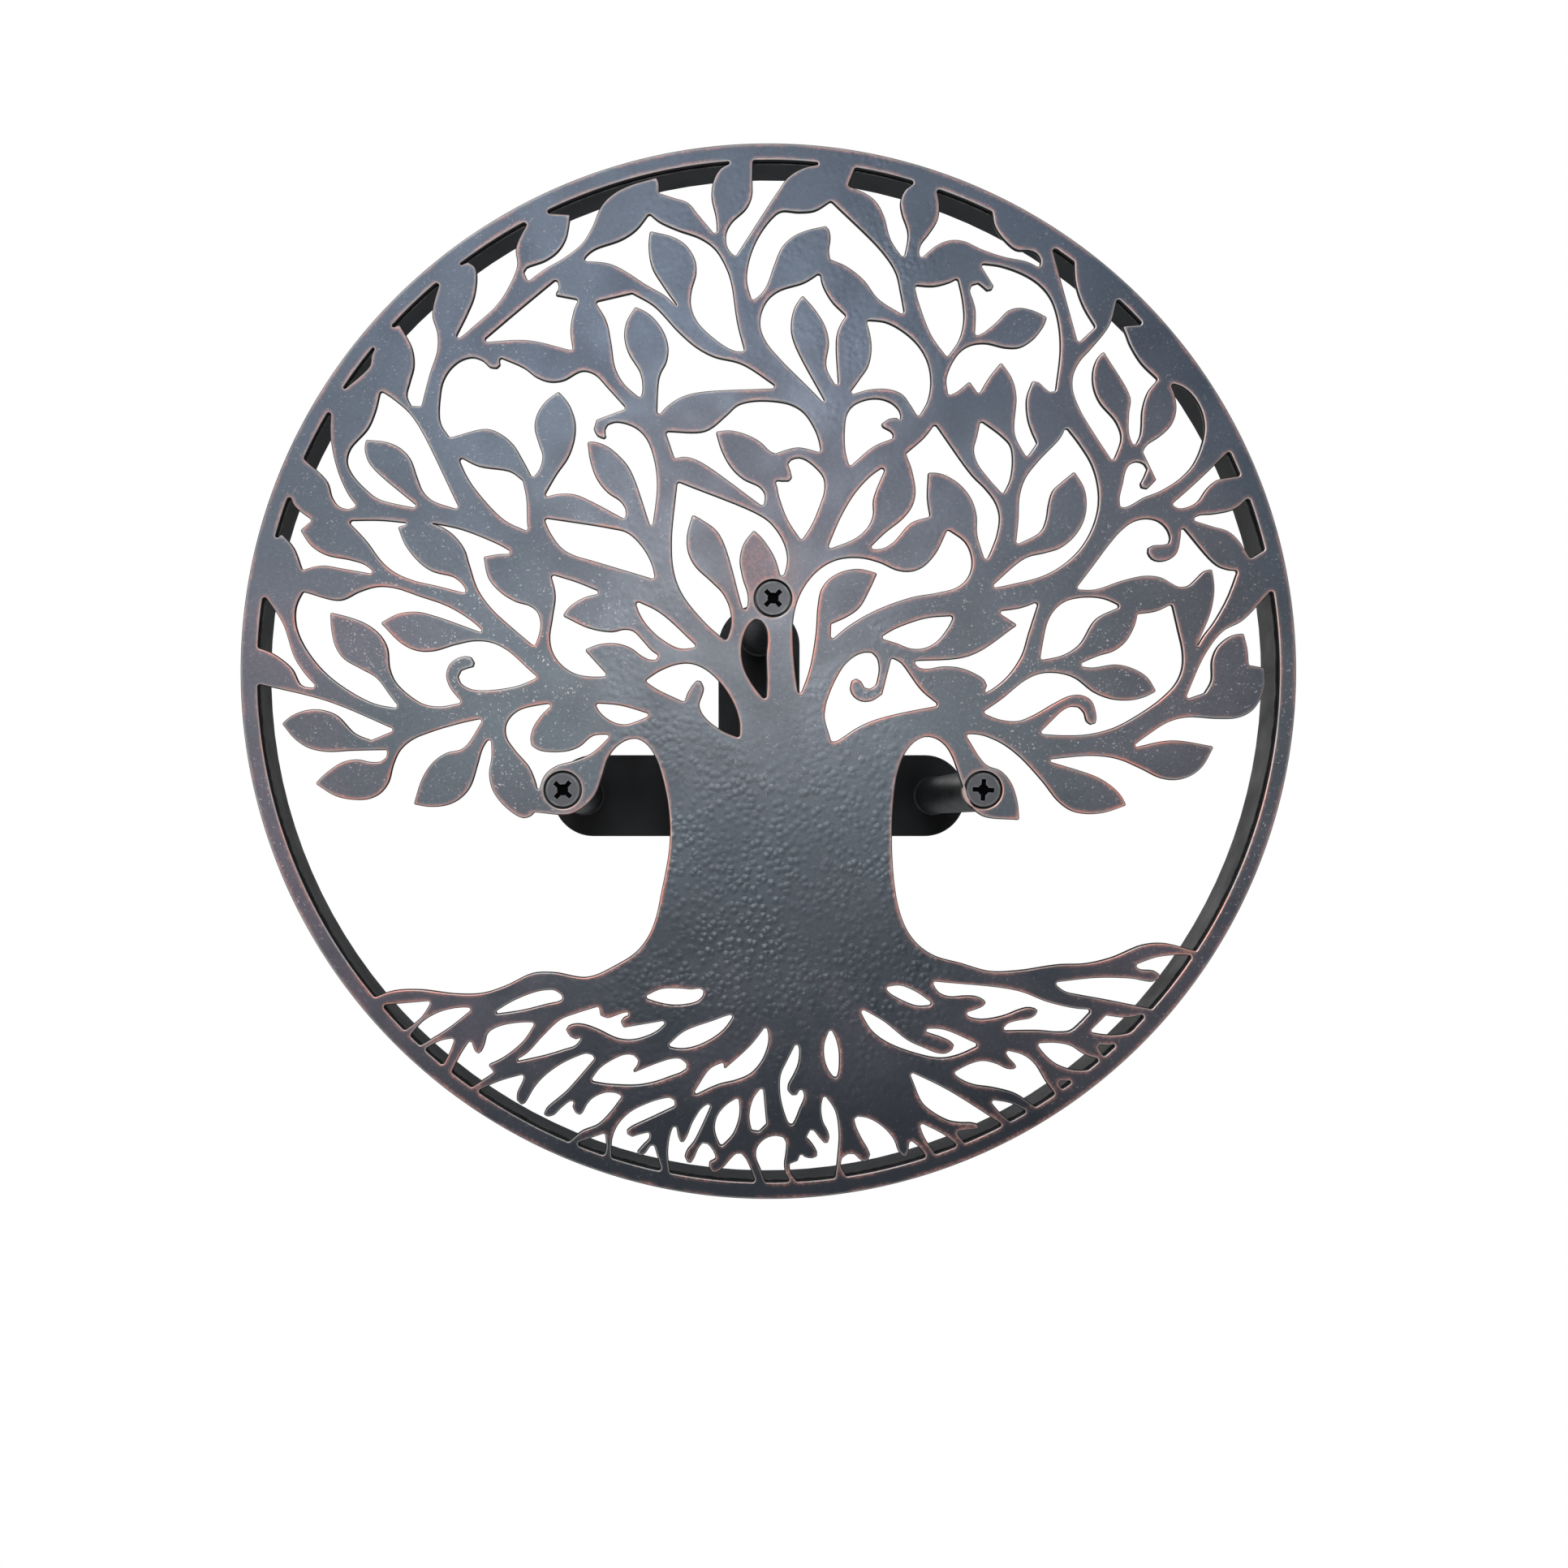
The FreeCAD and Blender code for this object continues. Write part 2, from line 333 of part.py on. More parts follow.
     [(25, 114.4), (20.8, 118.5), (17.8, 123.3), (16.7, 128.2)]],
    [[(2, 62.2), (5, 61), (7.5, 61.7), (7.2, 64.4), (6.4, 66.8), (9, 68.6), (14, 66.5), (17.8, 62),
      (17.6, 56.5),
      (15.3, 50.5), (12.8, 45), (10.7, 42.1)],
     [(10.7, 42.1), (8.3, 46.5), (5.2, 50.5), (3.6, 56), (2, 62.2)]],
    [[(9.9, -8.6), (8.9, -2), (8.1, 8), (8.3, 18), (10.5, 25), (15, 31.4), (21.5, 35.6),
      (28.5, 36.5), (35, 35.3),
      (40, 33), (44.5, 32), (49.5, 33.3), (53.5, 37.2), (56.5, 42), (57.8, 45.6)],
     [(57.8, 45.6), (61.5, 43.5), (64.8, 38.7), (65.4, 33.5), (62.7, 28.4), (57, 25.8), (48, 24.3),
      (39, 21.4),
      (30, 17.4), (24.5, 13.6), (20.1, 9.9)],
     [(20.1, 9.9), (20.3, 15.2)],
     [(20.3, 15.2), (25, 17.3), (29.3, 20.3), (32.2, 25), (35.2, 31.6)],
     [(35.2, 31.6), (31.5, 32.8), (26, 32.7), (20.5, 30.5), (16.8, 26), (15.8, 20), (15.1, 11),
      (13.3, 1),
      (9.9, -8.6)]],
    [[(18.2, -15), (18.4, -19.3), (20.3, -22.6), (24.5, -20.9), (31, -16.9), (38, -14.6),
      (46, -12.6), (55.1, -11)],
     [(55.1, -11), (52, -8), (49, -5.9), (46.5, -2.2), (43.5, 1.9), (39.7, 4.2)],
     [(39.7, 4.2), (39.3, -1), (38.2, -5.5), (34.7, -9), (31, -9.9), (27.3, -8), (26.3, -4.6),
      (27.6, -2.4),
      (29.5, -2.8), (31.2, -5.4), (33.8, -5.2), (35.2, -2), (35.4, 3), (33.6, 5.8), (30, 5.7),
      (26, 3.4),
      (22, -2.3), (19.4, -8), (18.2, -15)]],
    [[(19, 39.2), (21.5, 45.5), (25, 52.5), (29, 58.6), (33, 62.8), (38, 66.3)],
     [(38, 66.3), (35.3, 60.5), (33.8, 56), (33.6, 50), (31.5, 45.8), (26.5, 42), (19, 39.2)]],
    [[(26.2, 65.9), (24.9, 71), (24.8, 79), (26.3, 84.3), (30.5, 87), (35.5, 87.6), (40, 86),
      (42.4, 83), (42.4, 80.8)],
     [(42.4, 80.8), (37.5, 80.7), (36.2, 79.4), (38.5, 77.7), (40, 75)],
     [(40, 75), (36, 73.6), (31, 70.3), (26.2, 65.9)]],
    [[(31.6, 113), (36, 112.8), (42, 110.2), (47.2, 106), (51, 100), (52.2, 93), (51, 86.5),
      (48.3, 81.8)],
     [(48.3, 81.8), (46, 85.5), (42.8, 89.5), (37.5, 91), (31, 90.5), (25.8, 88.9)],
     [(25.8, 88.9), (29.5, 94), (32.4, 98.5), (33.3, 104.5), (31.6, 113)]],
    [[(59.6, 17.8), (54, 17.6), (47, 16), (40.5, 13.4), (36, 10.7)],
     [(36, 10.7), (41, 9.2), (47, 7.2), (52.5, 8.4), (56.5, 12), (59.6, 17.8)]],
    [[(47.2, 124.2), (52, 123.8), (57, 124.6), (60.9, 126.5)],
     [(60.9, 126.5), (62.3, 120), (62.8, 112.5), (61, 106), (57.6, 101.1)],
     [(57.6, 101.1), (53.8, 106), (50.5, 113), (48.3, 119.5), (47.2, 124.2)]],
    [[(53.7, 79.5), (56, 74.5), (61, 68), (67, 61.5), (72, 56), (74.2, 50.5), (73.4, 43.5), (70, 35.1)],
     [(70, 35.1), (67.5, 41), (67.3, 49), (65.2, 56), (60.5, 61.2), (55.5, 63.7), (51.4, 64)],
     [(51.4, 64), (51, 58), (52, 49.8)],
     [(52, 49.8), (47, 48.4), (42.8, 45), (39, 40.5), (35, 39.3), (32.4, 39.4)],
     [(32.4, 39.4), (37, 44), (43.3, 49), (47, 54.5), (47.2, 61), (44.4, 70)],
     [(44.4, 70), (49, 73.8), (53.7, 79.5)]],
    [[(68.2, 131.2), (73, 130.7), (79, 129), (85.5, 125.7), (90.2, 121), (92.8, 114.5), (93.9, 106),
      (93.4, 97),
      (92.4, 90.2)],
     [(92.4, 90.2), (91, 89.9), (88.3, 92), (85, 93.5)],
     [(85, 93.5), (83.5, 90), (83, 84), (84.2, 78.5), (86.4, 73.4)],
     [(86.4, 73.4), (83.2, 68.8)],
     [(83.2, 68.8), (80.5, 73), (79.2, 80), (80, 86), (79.2, 92.5), (75, 99.6)],
     [(75, 99.6), (71.3, 95), (67.8, 89.2)],
     [(67.8, 89.2), (64.8, 93.4)],
     [(64.8, 93.4), (61.5, 90.5), (58, 88.8)],
     [(58, 88.8), (57.2, 93), (59.3, 98.5), (62, 103), (66.5, 105.2), (73, 105), (79, 103.8),
      (85, 106.5),
      (89.8, 114)],
     [(89.8, 114), (84, 116.6), (78, 116.6), (73.5, 112.5), (70, 109.5), (66.6, 108)],
     [(66.6, 108), (67, 114), (66, 119.5), (65.4, 124), (67.8, 124.8), (70.2, 122.5), (72.2, 122.9),
      (71.8, 125.4)],
     [(71.8, 125.4), (68.2, 131.2)]],
    [[(68.4, 80.6), (67.3, 75.5), (66.3, 70.5), (68.3, 65.6), (72, 61), (75.6, 57)],
     [(75.6, 57), (77.7, 61.5), (78.5, 67.5), (77.3, 73.5), (73, 77), (68.4, 80.6)]],
    [[(87, 22.4), (84.5, 16), (82.8, 8.5), (79.8, 2), (75, -3.5), (69.5, -7.3)],
     [(69.5, -7.3), (70.3, -3.8), (66, -0.4), (60, 1.5), (54, 1.3), (50, 0.8), (46.6, 3.2)],
     [(46.6, 3.2), (51, 5), (58, 5.6), (66, 5), (72, 6.5), (76.5, 10.3), (80.4, 14.9)],
     [(80.4, 14.9), (77, 17), (73.7, 19.2)],
     [(73.7, 19.2), (80, 20), (87, 22.4)]],
    [[(95.8, 78.6), (98.5, 75), (102.5, 69.5), (105.5, 62), (106.2, 54), (104.2, 46), (99.8, 38.8),
      (95.5, 34.8),
      (89, 31), (81, 28.6), (71.2, 26.6)],
     [(71.2, 26.6), (75.5, 31.5), (80.5, 35.3), (87, 37.6), (94, 39.6), (98.5, 43.2), (101.8, 48.8),
      (102.5, 55.5),
      (101, 61), (98.6, 64.4)],
     [(98.6, 64.4), (94.5, 61), (91.4, 58), (89.8, 51.5), (87.6, 45)],
     [(87.6, 45), (83.5, 42.8), (79.8, 40.7)],
     [(79.8, 40.7), (80.6, 47), (81, 56), (83.5, 63.2), (89, 69.5), (93, 73.6), (95.8, 78.6)]],
    [[(87.6, 3.6), (88.8, 11), (91.3, 18.4), (95.5, 22.3), (101, 23.7), (107, 23.5), (113.6, 20.9)],
     [(113.6, 20.9), (108.5, 19), (104.2, 15.5), (101, 10), (98.3, 6.8), (93, 4.8), (87.6, 3.6)]],
    [[(119, 18.4), (124, 19), (129.9, 21.5)],
     [(129.9, 21.5), (131.5, 14.5), (133.3, 6), (132.6, -1), (129, -6.5), (122, -12), (115, -16.4),
      (107, -19.5),
      (97, -20.6), (87.2, -20.1)],
     [(87.2, -20.1), (91.5, -15.8), (95.5, -12.3), (99.5, -11.5), (101.8, -14), (103, -17),
      (105, -17.2),
      (105.6, -13.8), (103.7, -9), (99.5, -7.5), (94, -9.2), (87, -13.2), (79.5, -16.1), (73, -15),
      (69, -13.3)],
     [(69, -13.3), (75, -9.2), (81, -4.2), (87, -1), (93, -0.6), (99, -2.4), (104.5, -6.6), (111, -9.1),
      (118, -9.2), (125, -6.5)],
     [(125, -6.5), (122, -1.8), (116.5, 1.3), (110.5, 2.2), (104, 1.2), (99.3, 1.9)],
     [(99.3, 1.9), (103.5, 4.3), (109, 5.5), (115, 9.3), (117.8, 14), (119, 18.4)]],
    [[(99, 26.4), (103.5, 32.3), (108.5, 39), (113.5, 45), (119, 48.6), (124.5, 48.6),
      (128.7, 44.8), (129, 41.4),
      (125, 40.7), (122.1, 39.5), (123, 36.5), (127, 35.3), (131.3, 37.6), (132.7, 42), (133, 46.8)],
     [(133, 46.8), (137.2, 43.8), (139.2, 39.5), (143, 35), (151.1, 32.4)],
     [(151.1, 32.4), (148.8, 28), (147, 21.5), (142, 14), (137.3, 6.6)],
     [(137.3, 6.6), (136.3, 9.5), (140, 14.5), (143, 20.5), (143.7, 26.5), (142.9, 32.9)],
     [(142.9, 32.9), (139, 31.3), (135.5, 27.8), (132.5, 27.2), (128, 29.6), (121.5, 30.8),
      (114.5, 29.4),
      (107, 26.8), (99, 26.4)]],
    [[(129.4, 92.7), (131, 88.5), (131.5, 84.5), (130, 79.5), (126.5, 75.8), (122.5, 73.2),
      (120.7, 70.6)],
     [(120.7, 70.6), (124.5, 68), (125.6, 65), (124.7, 61), (122, 58.6), (119.8, 59.3), (120.8, 62.5),
      (121.8, 65.5), (119.5, 67.3), (116.3, 66.4), (114.6, 62), (113.2, 55.5), (113.3, 53),
      (115.2, 52.9),
      (119, 55), (126, 58), (131.5, 61.3), (136.5, 66.3), (139.5, 73), (140.3, 80), (138.5, 85.7),
      (134.5, 90.6), (129.4, 92.7)]],
]

# Cut-outs between the roots that open onto the ring, from left to right.

ROOT_CUTS_AT_RING = [
    [[(-124, -107.3), (-116, -106.7), (-108.5, -106.2)],
     [(-108.5, -106.2), (-111, -110.4), (-116.8, -115.3)]],
    [[(-115, -117), (-110.5, -112.3), (-105, -109.5), (-95, -108.5)],
     [(-95, -108.5), (-99.5, -112.4), (-105.5, -116.4), (-111.6, -119.9)]],
    [[(-110.2, -121.3), (-106, -119.2), (-101, -118.2)],
     [(-101, -118.2), (-102.3, -121.8), (-104.6, -126.4)]],
    [[(-101.9, -129), (-99, -123.3), (-95.5, -118)],
     [(-95.5, -118), (-94.9, -121.5), (-93.5, -123.3), (-91.8, -121.5), (-90.5, -117), (-86.5, -114.4),
      (-75.1, -113.2)],
     [(-75.1, -113.2), (-78.5, -118.5), (-84, -123.4), (-90.4, -126.7)],
     [(-90.4, -126.7), (-88.4, -129.2)],
     [(-88.4, -129.2), (-92, -131.7), (-95.6, -134)]],
    [[(-93.8, -135.3), (-88, -132.6), (-78.6, -129.8)],
     [(-78.6, -129.8), (-80.4, -134.5), (-80.9, -138.5), (-79.4, -139.7), (-77.3, -137.5),
      (-74.5, -133),
      (-69, -128), (-62, -124.3), (-56.8, -123.6), (-56, -124.8)],
     [(-56, -124.8), (-61, -130.5), (-66, -136), (-70.3, -139.5), (-72.3, -143), (-70.7, -143.5),
      (-67, -141),
      (-62.6, -138.5)],
     [(-62.6, -138.5), (-62.3, -142), (-60.8, -143), (-58.8, -140.3), (-55.5, -136.9), (-49.5, -135.8),
      (-47.2, -137)],
     [(-47.2, -137), (-51, -142), (-57, -147), (-62, -148.8), (-64.2, -151.3)]],
    [[(-62.3, -152.1), (-57.5, -150.3), (-52.6, -148.8)],
     [(-52.6, -148.8), (-52.2, -152), (-52.9, -155.7)]],
    [[(-50.4, -156.6), (-50.3, -151), (-48.3, -146), (-42.5, -140.8), (-37, -138.6),
      (-30.3, -138.2), (-30.2, -140)],
     [(-30.2, -140), (-36, -142.8), (-43, -146), (-45.8, -148.5), (-44.5, -149.9), (-41, -148.9),
      (-38.3, -148.5)],
     [(-38.3, -148.5), (-38.5, -150.5), (-41.5, -153.4), (-42.3, -155.5), (-40.5, -156),
      (-38.5, -153.6),
      (-36.9, -152.6)],
     [(-36.9, -152.6), (-34.4, -160.8)]],
    [[(-31.6, -161.3), (-32.2, -156), (-31.7, -150), (-30, -146.2), (-29.3, -149), (-27.9, -152),
      (-26, -149.5),
      (-24.5, -145.7), (-21, -140.5), (-18.2, -139)],
     [(-18.2, -139), (-21, -145), (-24.5, -152), (-26.9, -157), (-25.5, -158.6), (-23.5, -156),
      (-20.5, -151.9),
      (-18.5, -153.5), (-17, -156.9)],
     [(-17, -156.9), (-19.2, -159.5), (-18, -161.4), (-15, -160.3), (-12, -157), (-9.3, -155.2),
      (-7, -157.6),
      (-5.6, -160.8), (-4.2, -164.2)]],
    [[(-0.9, -164.3), (-3, -159), (-3.9, -154.5), (-1.5, -151), (2.3, -149.7), (5.2, -150.6),
      (5.7, -153),
      (5.1, -158), (7.3, -164.1)]],
    [[(9.2, -164), (7.2, -161.3), (6.9, -158.7)],
     [(6.9, -158.7), (9.8, -157.4), (10.5, -155.2)],
     [(10.5, -155.2), (13.3, -156.9), (15.7, -156.3), (15, -153.3), (12.3, -150.2)],
     [(12.3, -150.2), (14, -147.7), (16.8, -150.8), (18.8, -152.2), (19.7, -150.3), (18.1, -146),
      (17.1, -140),
      (17.9, -136.2)],
     [(17.9, -136.2), (21, -140.5), (22.6, -148), (22.1, -157), (21.4, -163.1)]],
    [[(25.1, -162.6), (25.6, -155.6), (27.5, -155.5), (30.8, -158.1), (32.7, -156.8),
      (31.5, -152.8), (28.5, -147),
      (27.9, -143.8), (30.5, -143.6), (36.5, -146.6), (40.5, -151), (42.5, -155.5), (44.2, -156.5),
      (45.2, -154),
      (45.7, -151)],
     [(45.7, -151), (48.5, -153.3), (50.9, -156.6)]],
    [[(53.8, -155.5), (50.5, -150.5), (48.6, -145.3)],
     [(48.6, -145.3), (54, -147.8), (61, -153)]],
    [[(63.2, -152), (60.5, -148.2)],
     [(60.5, -148.2), (64.5, -148.9), (67.9, -148), (67.8, -146.3), (65, -145.3), (60, -145.1),
      (54, -142.5),
      (50, -139.3), (47.5, -134.3), (45.2, -128.8)],
     [(45.2, -128.8), (48.5, -129.5), (55, -133.2), (63, -138.3), (70, -143), (75.6, -146.4)]],
    [[(78, -145.2), (74.5, -141.9), (71.2, -138)],
     [(71.2, -138), (77, -138.9), (83.5, -142)]],
    [[(86.1, -140.3), (81.5, -137), (77, -134.8), (71, -133.8), (64.5, -132.5), (59.7, -129.3)],
     [(59.7, -129.3), (64, -127), (68.5, -125.6), (73, -126.3), (77.5, -128.2), (80, -127.8),
      (78, -125),
      (76.7, -122.2)],
     [(76.7, -122.2), (80.5, -123), (85, -125.7), (88.5, -130.8), (92.3, -136.3)]],
    [[(94.7, -134.6), (93, -131.8)],
     [(93, -131.8), (96, -132), (98.8, -131.6)]],
    [[(103.2, -128.3), (97, -128), (92.5, -126.2), (89, -123.2), (86.4, -119.9)],
     [(86.4, -119.9), (92, -119.7), (98, -121), (103, -124.2), (106.9, -125.3)]],
    [[(108, -124), (105.7, -120.2)],
     [(105.7, -120.2), (109, -120.6), (112.9, -119.7)]],
    [[(116.8, -116.5), (109, -117), (103.4, -116.2)],
     [(103.4, -116.2), (108.8, -110.9)],
     [(108.8, -110.9), (113.5, -111.6), (122.3, -110.7)]],
    [[(123.8, -109), (113, -107.7), (106, -104.9), (98, -103.8), (91.8, -100.3)],
     [(91.8, -100.3), (98, -99.6), (105, -98.9), (113, -98.6), (120.5, -99.7), (124.7, -99.8),
      (126.3, -98.3),
      (124.5, -96.5), (120.5, -96.1), (118, -94.7)],
     [(118, -94.7), (125, -92.2), (131, -91.4), (136.9, -92)]],
]

# Cut-outs between the roots, from left to right.

ROOT_CUTS = [
    [[(-89.2, -110.5), (-84, -107.3), (-78, -104.3), (-72.5, -102.9), (-67.5, -103.5), (-66.2, -105.2),
      (-70, -106.8), (-77, -108.6), (-89.2, -110.5)]],
    [[(-54.6, -108), (-60, -109.8), (-65.5, -111.5), (-70, -114.8), (-74.5, -119.8), (-82.4, -125.9)],
     [(-82.4, -125.9), (-76, -125.2), (-68, -122.2), (-61, -119.5), (-60.2, -118)],
     [(-60.2, -118), (-64.5, -117), (-65.2, -115), (-63, -113.6), (-58, -114), (-52.5, -116.3),
      (-46.5, -118.6),
      (-39.5, -117.4), (-34, -114.5), (-32.2, -112.4)],
     [(-32.2, -112.4), (-36, -111.9), (-41, -113.7), (-45.5, -115.6), (-47.3, -114), (-43.5, -110.6)],
     [(-43.5, -110.6), (-46, -109.9), (-52.5, -111.7), (-54.2, -110.8), (-54.6, -108)]],
    [[(-57.2, -131.9), (-53.5, -127.3), (-49, -124.6), (-43, -124), (-41.9, -125.4),
      (-42.8, -127.6), (-44.8, -130)],
     [(-44.8, -130), (-39, -127.5), (-34, -125.7), (-27, -125.7), (-26.2, -127), (-30.5, -130),
      (-38, -132.5),
      (-47, -133.2), (-57.2, -131.9)]],
    [[(-40.2, -105), (-36, -102.9), (-30.5, -101.9), (-24.5, -102.5), (-20.9, -102.8), (-21.2, -104.6),
      (-25.5, -107), (-32, -107.3), (-40.2, -105)]],
    [[(-32.5, -120.7), (-29.5, -118.3), (-26.5, -115.7), (-20, -113.4), (-14, -111.2), (-10.8, -110.3)],
     [(-10.8, -110.3), (-13.8, -114.7), (-19, -118.7), (-25.5, -121.2), (-32.5, -120.7)]],
    [[(-0.7, -114.2), (-3.3, -118.2), (-8.5, -122.9), (-14.4, -128.5)],
     [(-14.4, -128.5), (-14.3, -125.9)],
     [(-14.3, -125.9), (-18.5, -127.9), (-21, -131), (-24.8, -137)],
     [(-24.8, -137), (-20, -134.2), (-12, -132), (-5.5, -129.3), (-1.7, -124.5), (0, -118.5),
      (-0.7, -114.2)]],
    [[(-9.7, -137.3), (-14.5, -140.7), (-17, -145), (-16.6, -150), (-15.2, -153)],
     [(-15.2, -153), (-11.8, -149.5), (-9.6, -144), (-9.7, -137.3)]],
    [[(-1.8, -133.6), (-5.5, -139.5), (-5.3, -147.8)],
     [(-5.3, -147.8), (-4, -148.2), (-0.7, -145.8)],
     [(-0.7, -145.8), (-1, -140), (-1.8, -133.6)]],
    [[(9.2, -119.4), (6.7, -124.5), (4.1, -130), (3.9, -136), (5.2, -142), (7.4, -146.1),
      (9.5, -142), (11.2, -135),
      (10.6, -134.2)],
     [(10.6, -134.2), (7.5, -136.6), (6.3, -135.4), (8, -130), (9.9, -124), (9.2, -119.4)]],
    [[(20, -114.9), (18.3, -119), (18.1, -124), (19.5, -128.5), (21.7, -130.9), (22.7, -127),
      (22.2, -120),
      (20, -114.9)]],
    [[(29.2, -108.3), (34, -110.8), (40, -115), (45, -119), (50.5, -121.5), (58.5, -122.6),
      (59.9, -120.8),
      (57.5, -118.5), (49.6, -115.2)],
     [(49.6, -115.2), (55.5, -115.3), (61.5, -117.2), (68, -120.4)],
     [(68, -120.4), (63, -122.7), (57, -124.4), (50, -123.6), (41, -120.6), (34.5, -116.8),
      (31.3, -112.5),
      (29.2, -108.3)]],
    [[(37.6, -101.8), (42, -101.2), (46.5, -102.7), (53.4, -107.4)],
     [(53.4, -107.4), (50, -108.1), (44.5, -106.3), (40, -104.2), (37.6, -101.8)]],
    [[(52.8, -99.9), (57, -99.2), (62, -100.7), (69, -102.8), (77, -102.8), (83, -103.5),
      (89, -106.2), (96, -108.2),
      (104.2, -109)],
     [(104.2, -109), (101, -112.3), (96.5, -115.9), (90, -115.6), (83, -115.9), (75.3, -115.7)],
     [(75.3, -115.7), (80, -112.6), (85.5, -111.2), (86.9, -109.3), (84.5, -108.2), (79, -109.6),
      (71, -111.8),
      (65, -111.3), (63.3, -110.1)],
     [(63.3, -110.1), (68, -108.5), (70.2, -106.8), (68, -105), (61, -104.7), (52.8, -99.9)]],
]


# Helpers for the outline

OUTER_RADIUS = size("disc_diameter") / 2
INNER_RADIUS = OUTER_RADIUS - size("ring_width")
DRAWING_SCALE = INNER_RADIUS / DRAWN_RADIUS


def at(point):
    return Vector(point[0] * DRAWING_SCALE, 0, point[1] * DRAWING_SCALE)


def on_ring(point):
    there = at(point)
    return there * (INNER_RADIUS / there.Length)


def run_points(points):
    # corners and chords of the smooth curve through the points, as the cutting machine follows it
    if len(points) == 2:
        return points
    curve = Part.BSplineCurve()
    curve.interpolate(points)
    return curve.toShape().discretize(Deflection=size("chord_miss"))


def joined(runs):
    path = []
    for run in runs:
        path += run_points(run)[:-1]
    return path + [runs[-1][-1]]


def closed_cut(stretches):
    path = joined([[at(p) for p in stretch] for stretch in stretches])
    path[-1] = path[0]
    return Part.makePolygon(path)


def cut_at_ring(stretches):
    runs = [[at(p) for p in stretch] for stretch in stretches]
    runs[0][0] = on_ring(stretches[0][0])
    runs[-1][-1] = on_ring(stretches[-1][-1])
    start = runs[-1][-1]
    end = runs[0][0]
    middle = start + end
    middle = middle * (INNER_RADIUS / middle.Length)
    rim = Part.Arc(start, middle, end).toShape()
    return Part.Wire(Part.makePolygon(joined(runs)).Edges + [rim])


# Tree panel: the outline as one flat face, given its thickness, with three countersunk holes

disc_circle = Part.Wire(Part.Circle(Vector(0, 0, 0), Vector(0, 1, 0), OUTER_RADIUS).toShape())
cuts = [cut_at_ring(c) for c in CROWN_CUTS_AT_RING + GREAT_CUTS_AT_RING + ROOT_CUTS_AT_RING]
cuts += [closed_cut(c) for c in CROWN_CUTS + ROOT_CUTS]

tree_outline = doc.addObject("Part::Feature", "TreeOutline")
tree_outline.Shape = Part.makeFace([disc_circle] + cuts, "Part::FaceMakerCheese")

tree_sheet = doc.addObject("Part::Extrusion", "TreeSheet")
tree_sheet.Base = tree_outline
tree_sheet.DirMode = "Custom"
tree_sheet.Dir = Vector(0, 1, 0)
tree_sheet.Solid = True
tree_sheet.setExpression("LengthFwd", "dims.panel_thick")

# Where the screws stand, seen from the panel's centre
SCREW_PLACES = {
    "left": ("-dims.standoff_spacing / 2 - dims.panel_shift", "-dims.panel_rise"),
    "right": ("dims.standoff_spacing / 2 - dims.panel_shift", "-dims.panel_rise"),
    "top": ("-dims.panel_shift", "dims.standoff_rise - dims.panel_rise"),
}
# The countersink follows the head: as wide at the face, one to one with the depth
SINK_AT_FACE = "(dims.head_diameter / 2 + dims.head_sink + dims.head_rim + dims.screw_clearance)"
SINK_AT_BACK = "(%s - dims.panel_thick)" % SINK_AT_FACE
ALONG_Y = FreeCAD.Rotation(Vector(1, 0, 0), -90)


def stand_at_screw(tool, side):
    tool.Placement = FreeCAD.Placement(Vector(0, 0, 0), ALONG_Y)
    tool.setExpression("Placement.Base.x", SCREW_PLACES[side][0])
    tool.setExpression("Placement.Base.z", SCREW_PLACES[side][1])


lands = []
sinks = []
for side in SCREW_PLACES:
    land = doc.addObject("Part::Cylinder", "ScrewLand_" + side)
    land.setExpression("Radius", SINK_AT_FACE + " + dims.screw_land")
    land.setExpression("Height", "dims.panel_thick")
    stand_at_screw(land, side)
    lands.append(land)
    sink = doc.addObject("Part::Cone", "Countersink_" + side)
    sink.setExpression("Radius1", SINK_AT_FACE)
    sink.setExpression("Radius2", SINK_AT_BACK)
    sink.setExpression("Height", "dims.panel_thick")
    stand_at_screw(sink, side)
    sinks.append(sink)

panel_blank = doc.addObject("Part::MultiFuse", "PanelBlank")
panel_blank.Shapes = [tree_sheet] + lands
panel_blank.Refine = True
panel_sinks = doc.addObject("Part::MultiFuse", "PanelSinks")
panel_sinks.Shapes = sinks

FRONT_OF_PANEL = "-(dims.plate_thick + dims.standoff_length + dims.panel_thick)"
BACK_OF_PANEL = "-(dims.plate_thick + dims.standoff_length)"

tree_panel = doc.addObject("Part::Cut", "TreePanel")
tree_panel.Base = panel_blank
tree_panel.Tool = panel_sinks
tree_panel.Label = "tree_panel"
tree_panel.setExpression("Placement.Base.x", "dims.panel_shift")
tree_panel.setExpression("Placement.Base.y", FRONT_OF_PANEL)
tree_panel.setExpression("Placement.Base.z", "dims.panel_rise")


# Helpers for the turned and bent parts

def new_body(name, label):
    body = doc.addObject("PartDesign::Body", name)
    body.Label = label
    return body


def new_sketch(body, name, plane):
    sketch = body.newObject("Sketcher::SketchObject", name)
    for feature in body.Origin.OriginFeatures:
        if getattr(feature, "Role", "") == plane:
            sketch.AttachmentSupport = (feature, [""])
    sketch.MapMode = "FlatFace"
    return sketch


def bind(sketch, constraint, formula):
    index = sketch.addConstraint(constraint)
    sketch.setExpression("Constraints[%d]" % index, formula)


def value_of(formula):
    # the number a formula gives now, read back from a spare cell of the sheet
    sheet.set("E1", "=" + formula.replace("dims.", ""))
    doc.recompute([sheet])
    found = sheet.get("E1")
    sheet.clear("E1")
    return float(getattr(found, "Value", found))


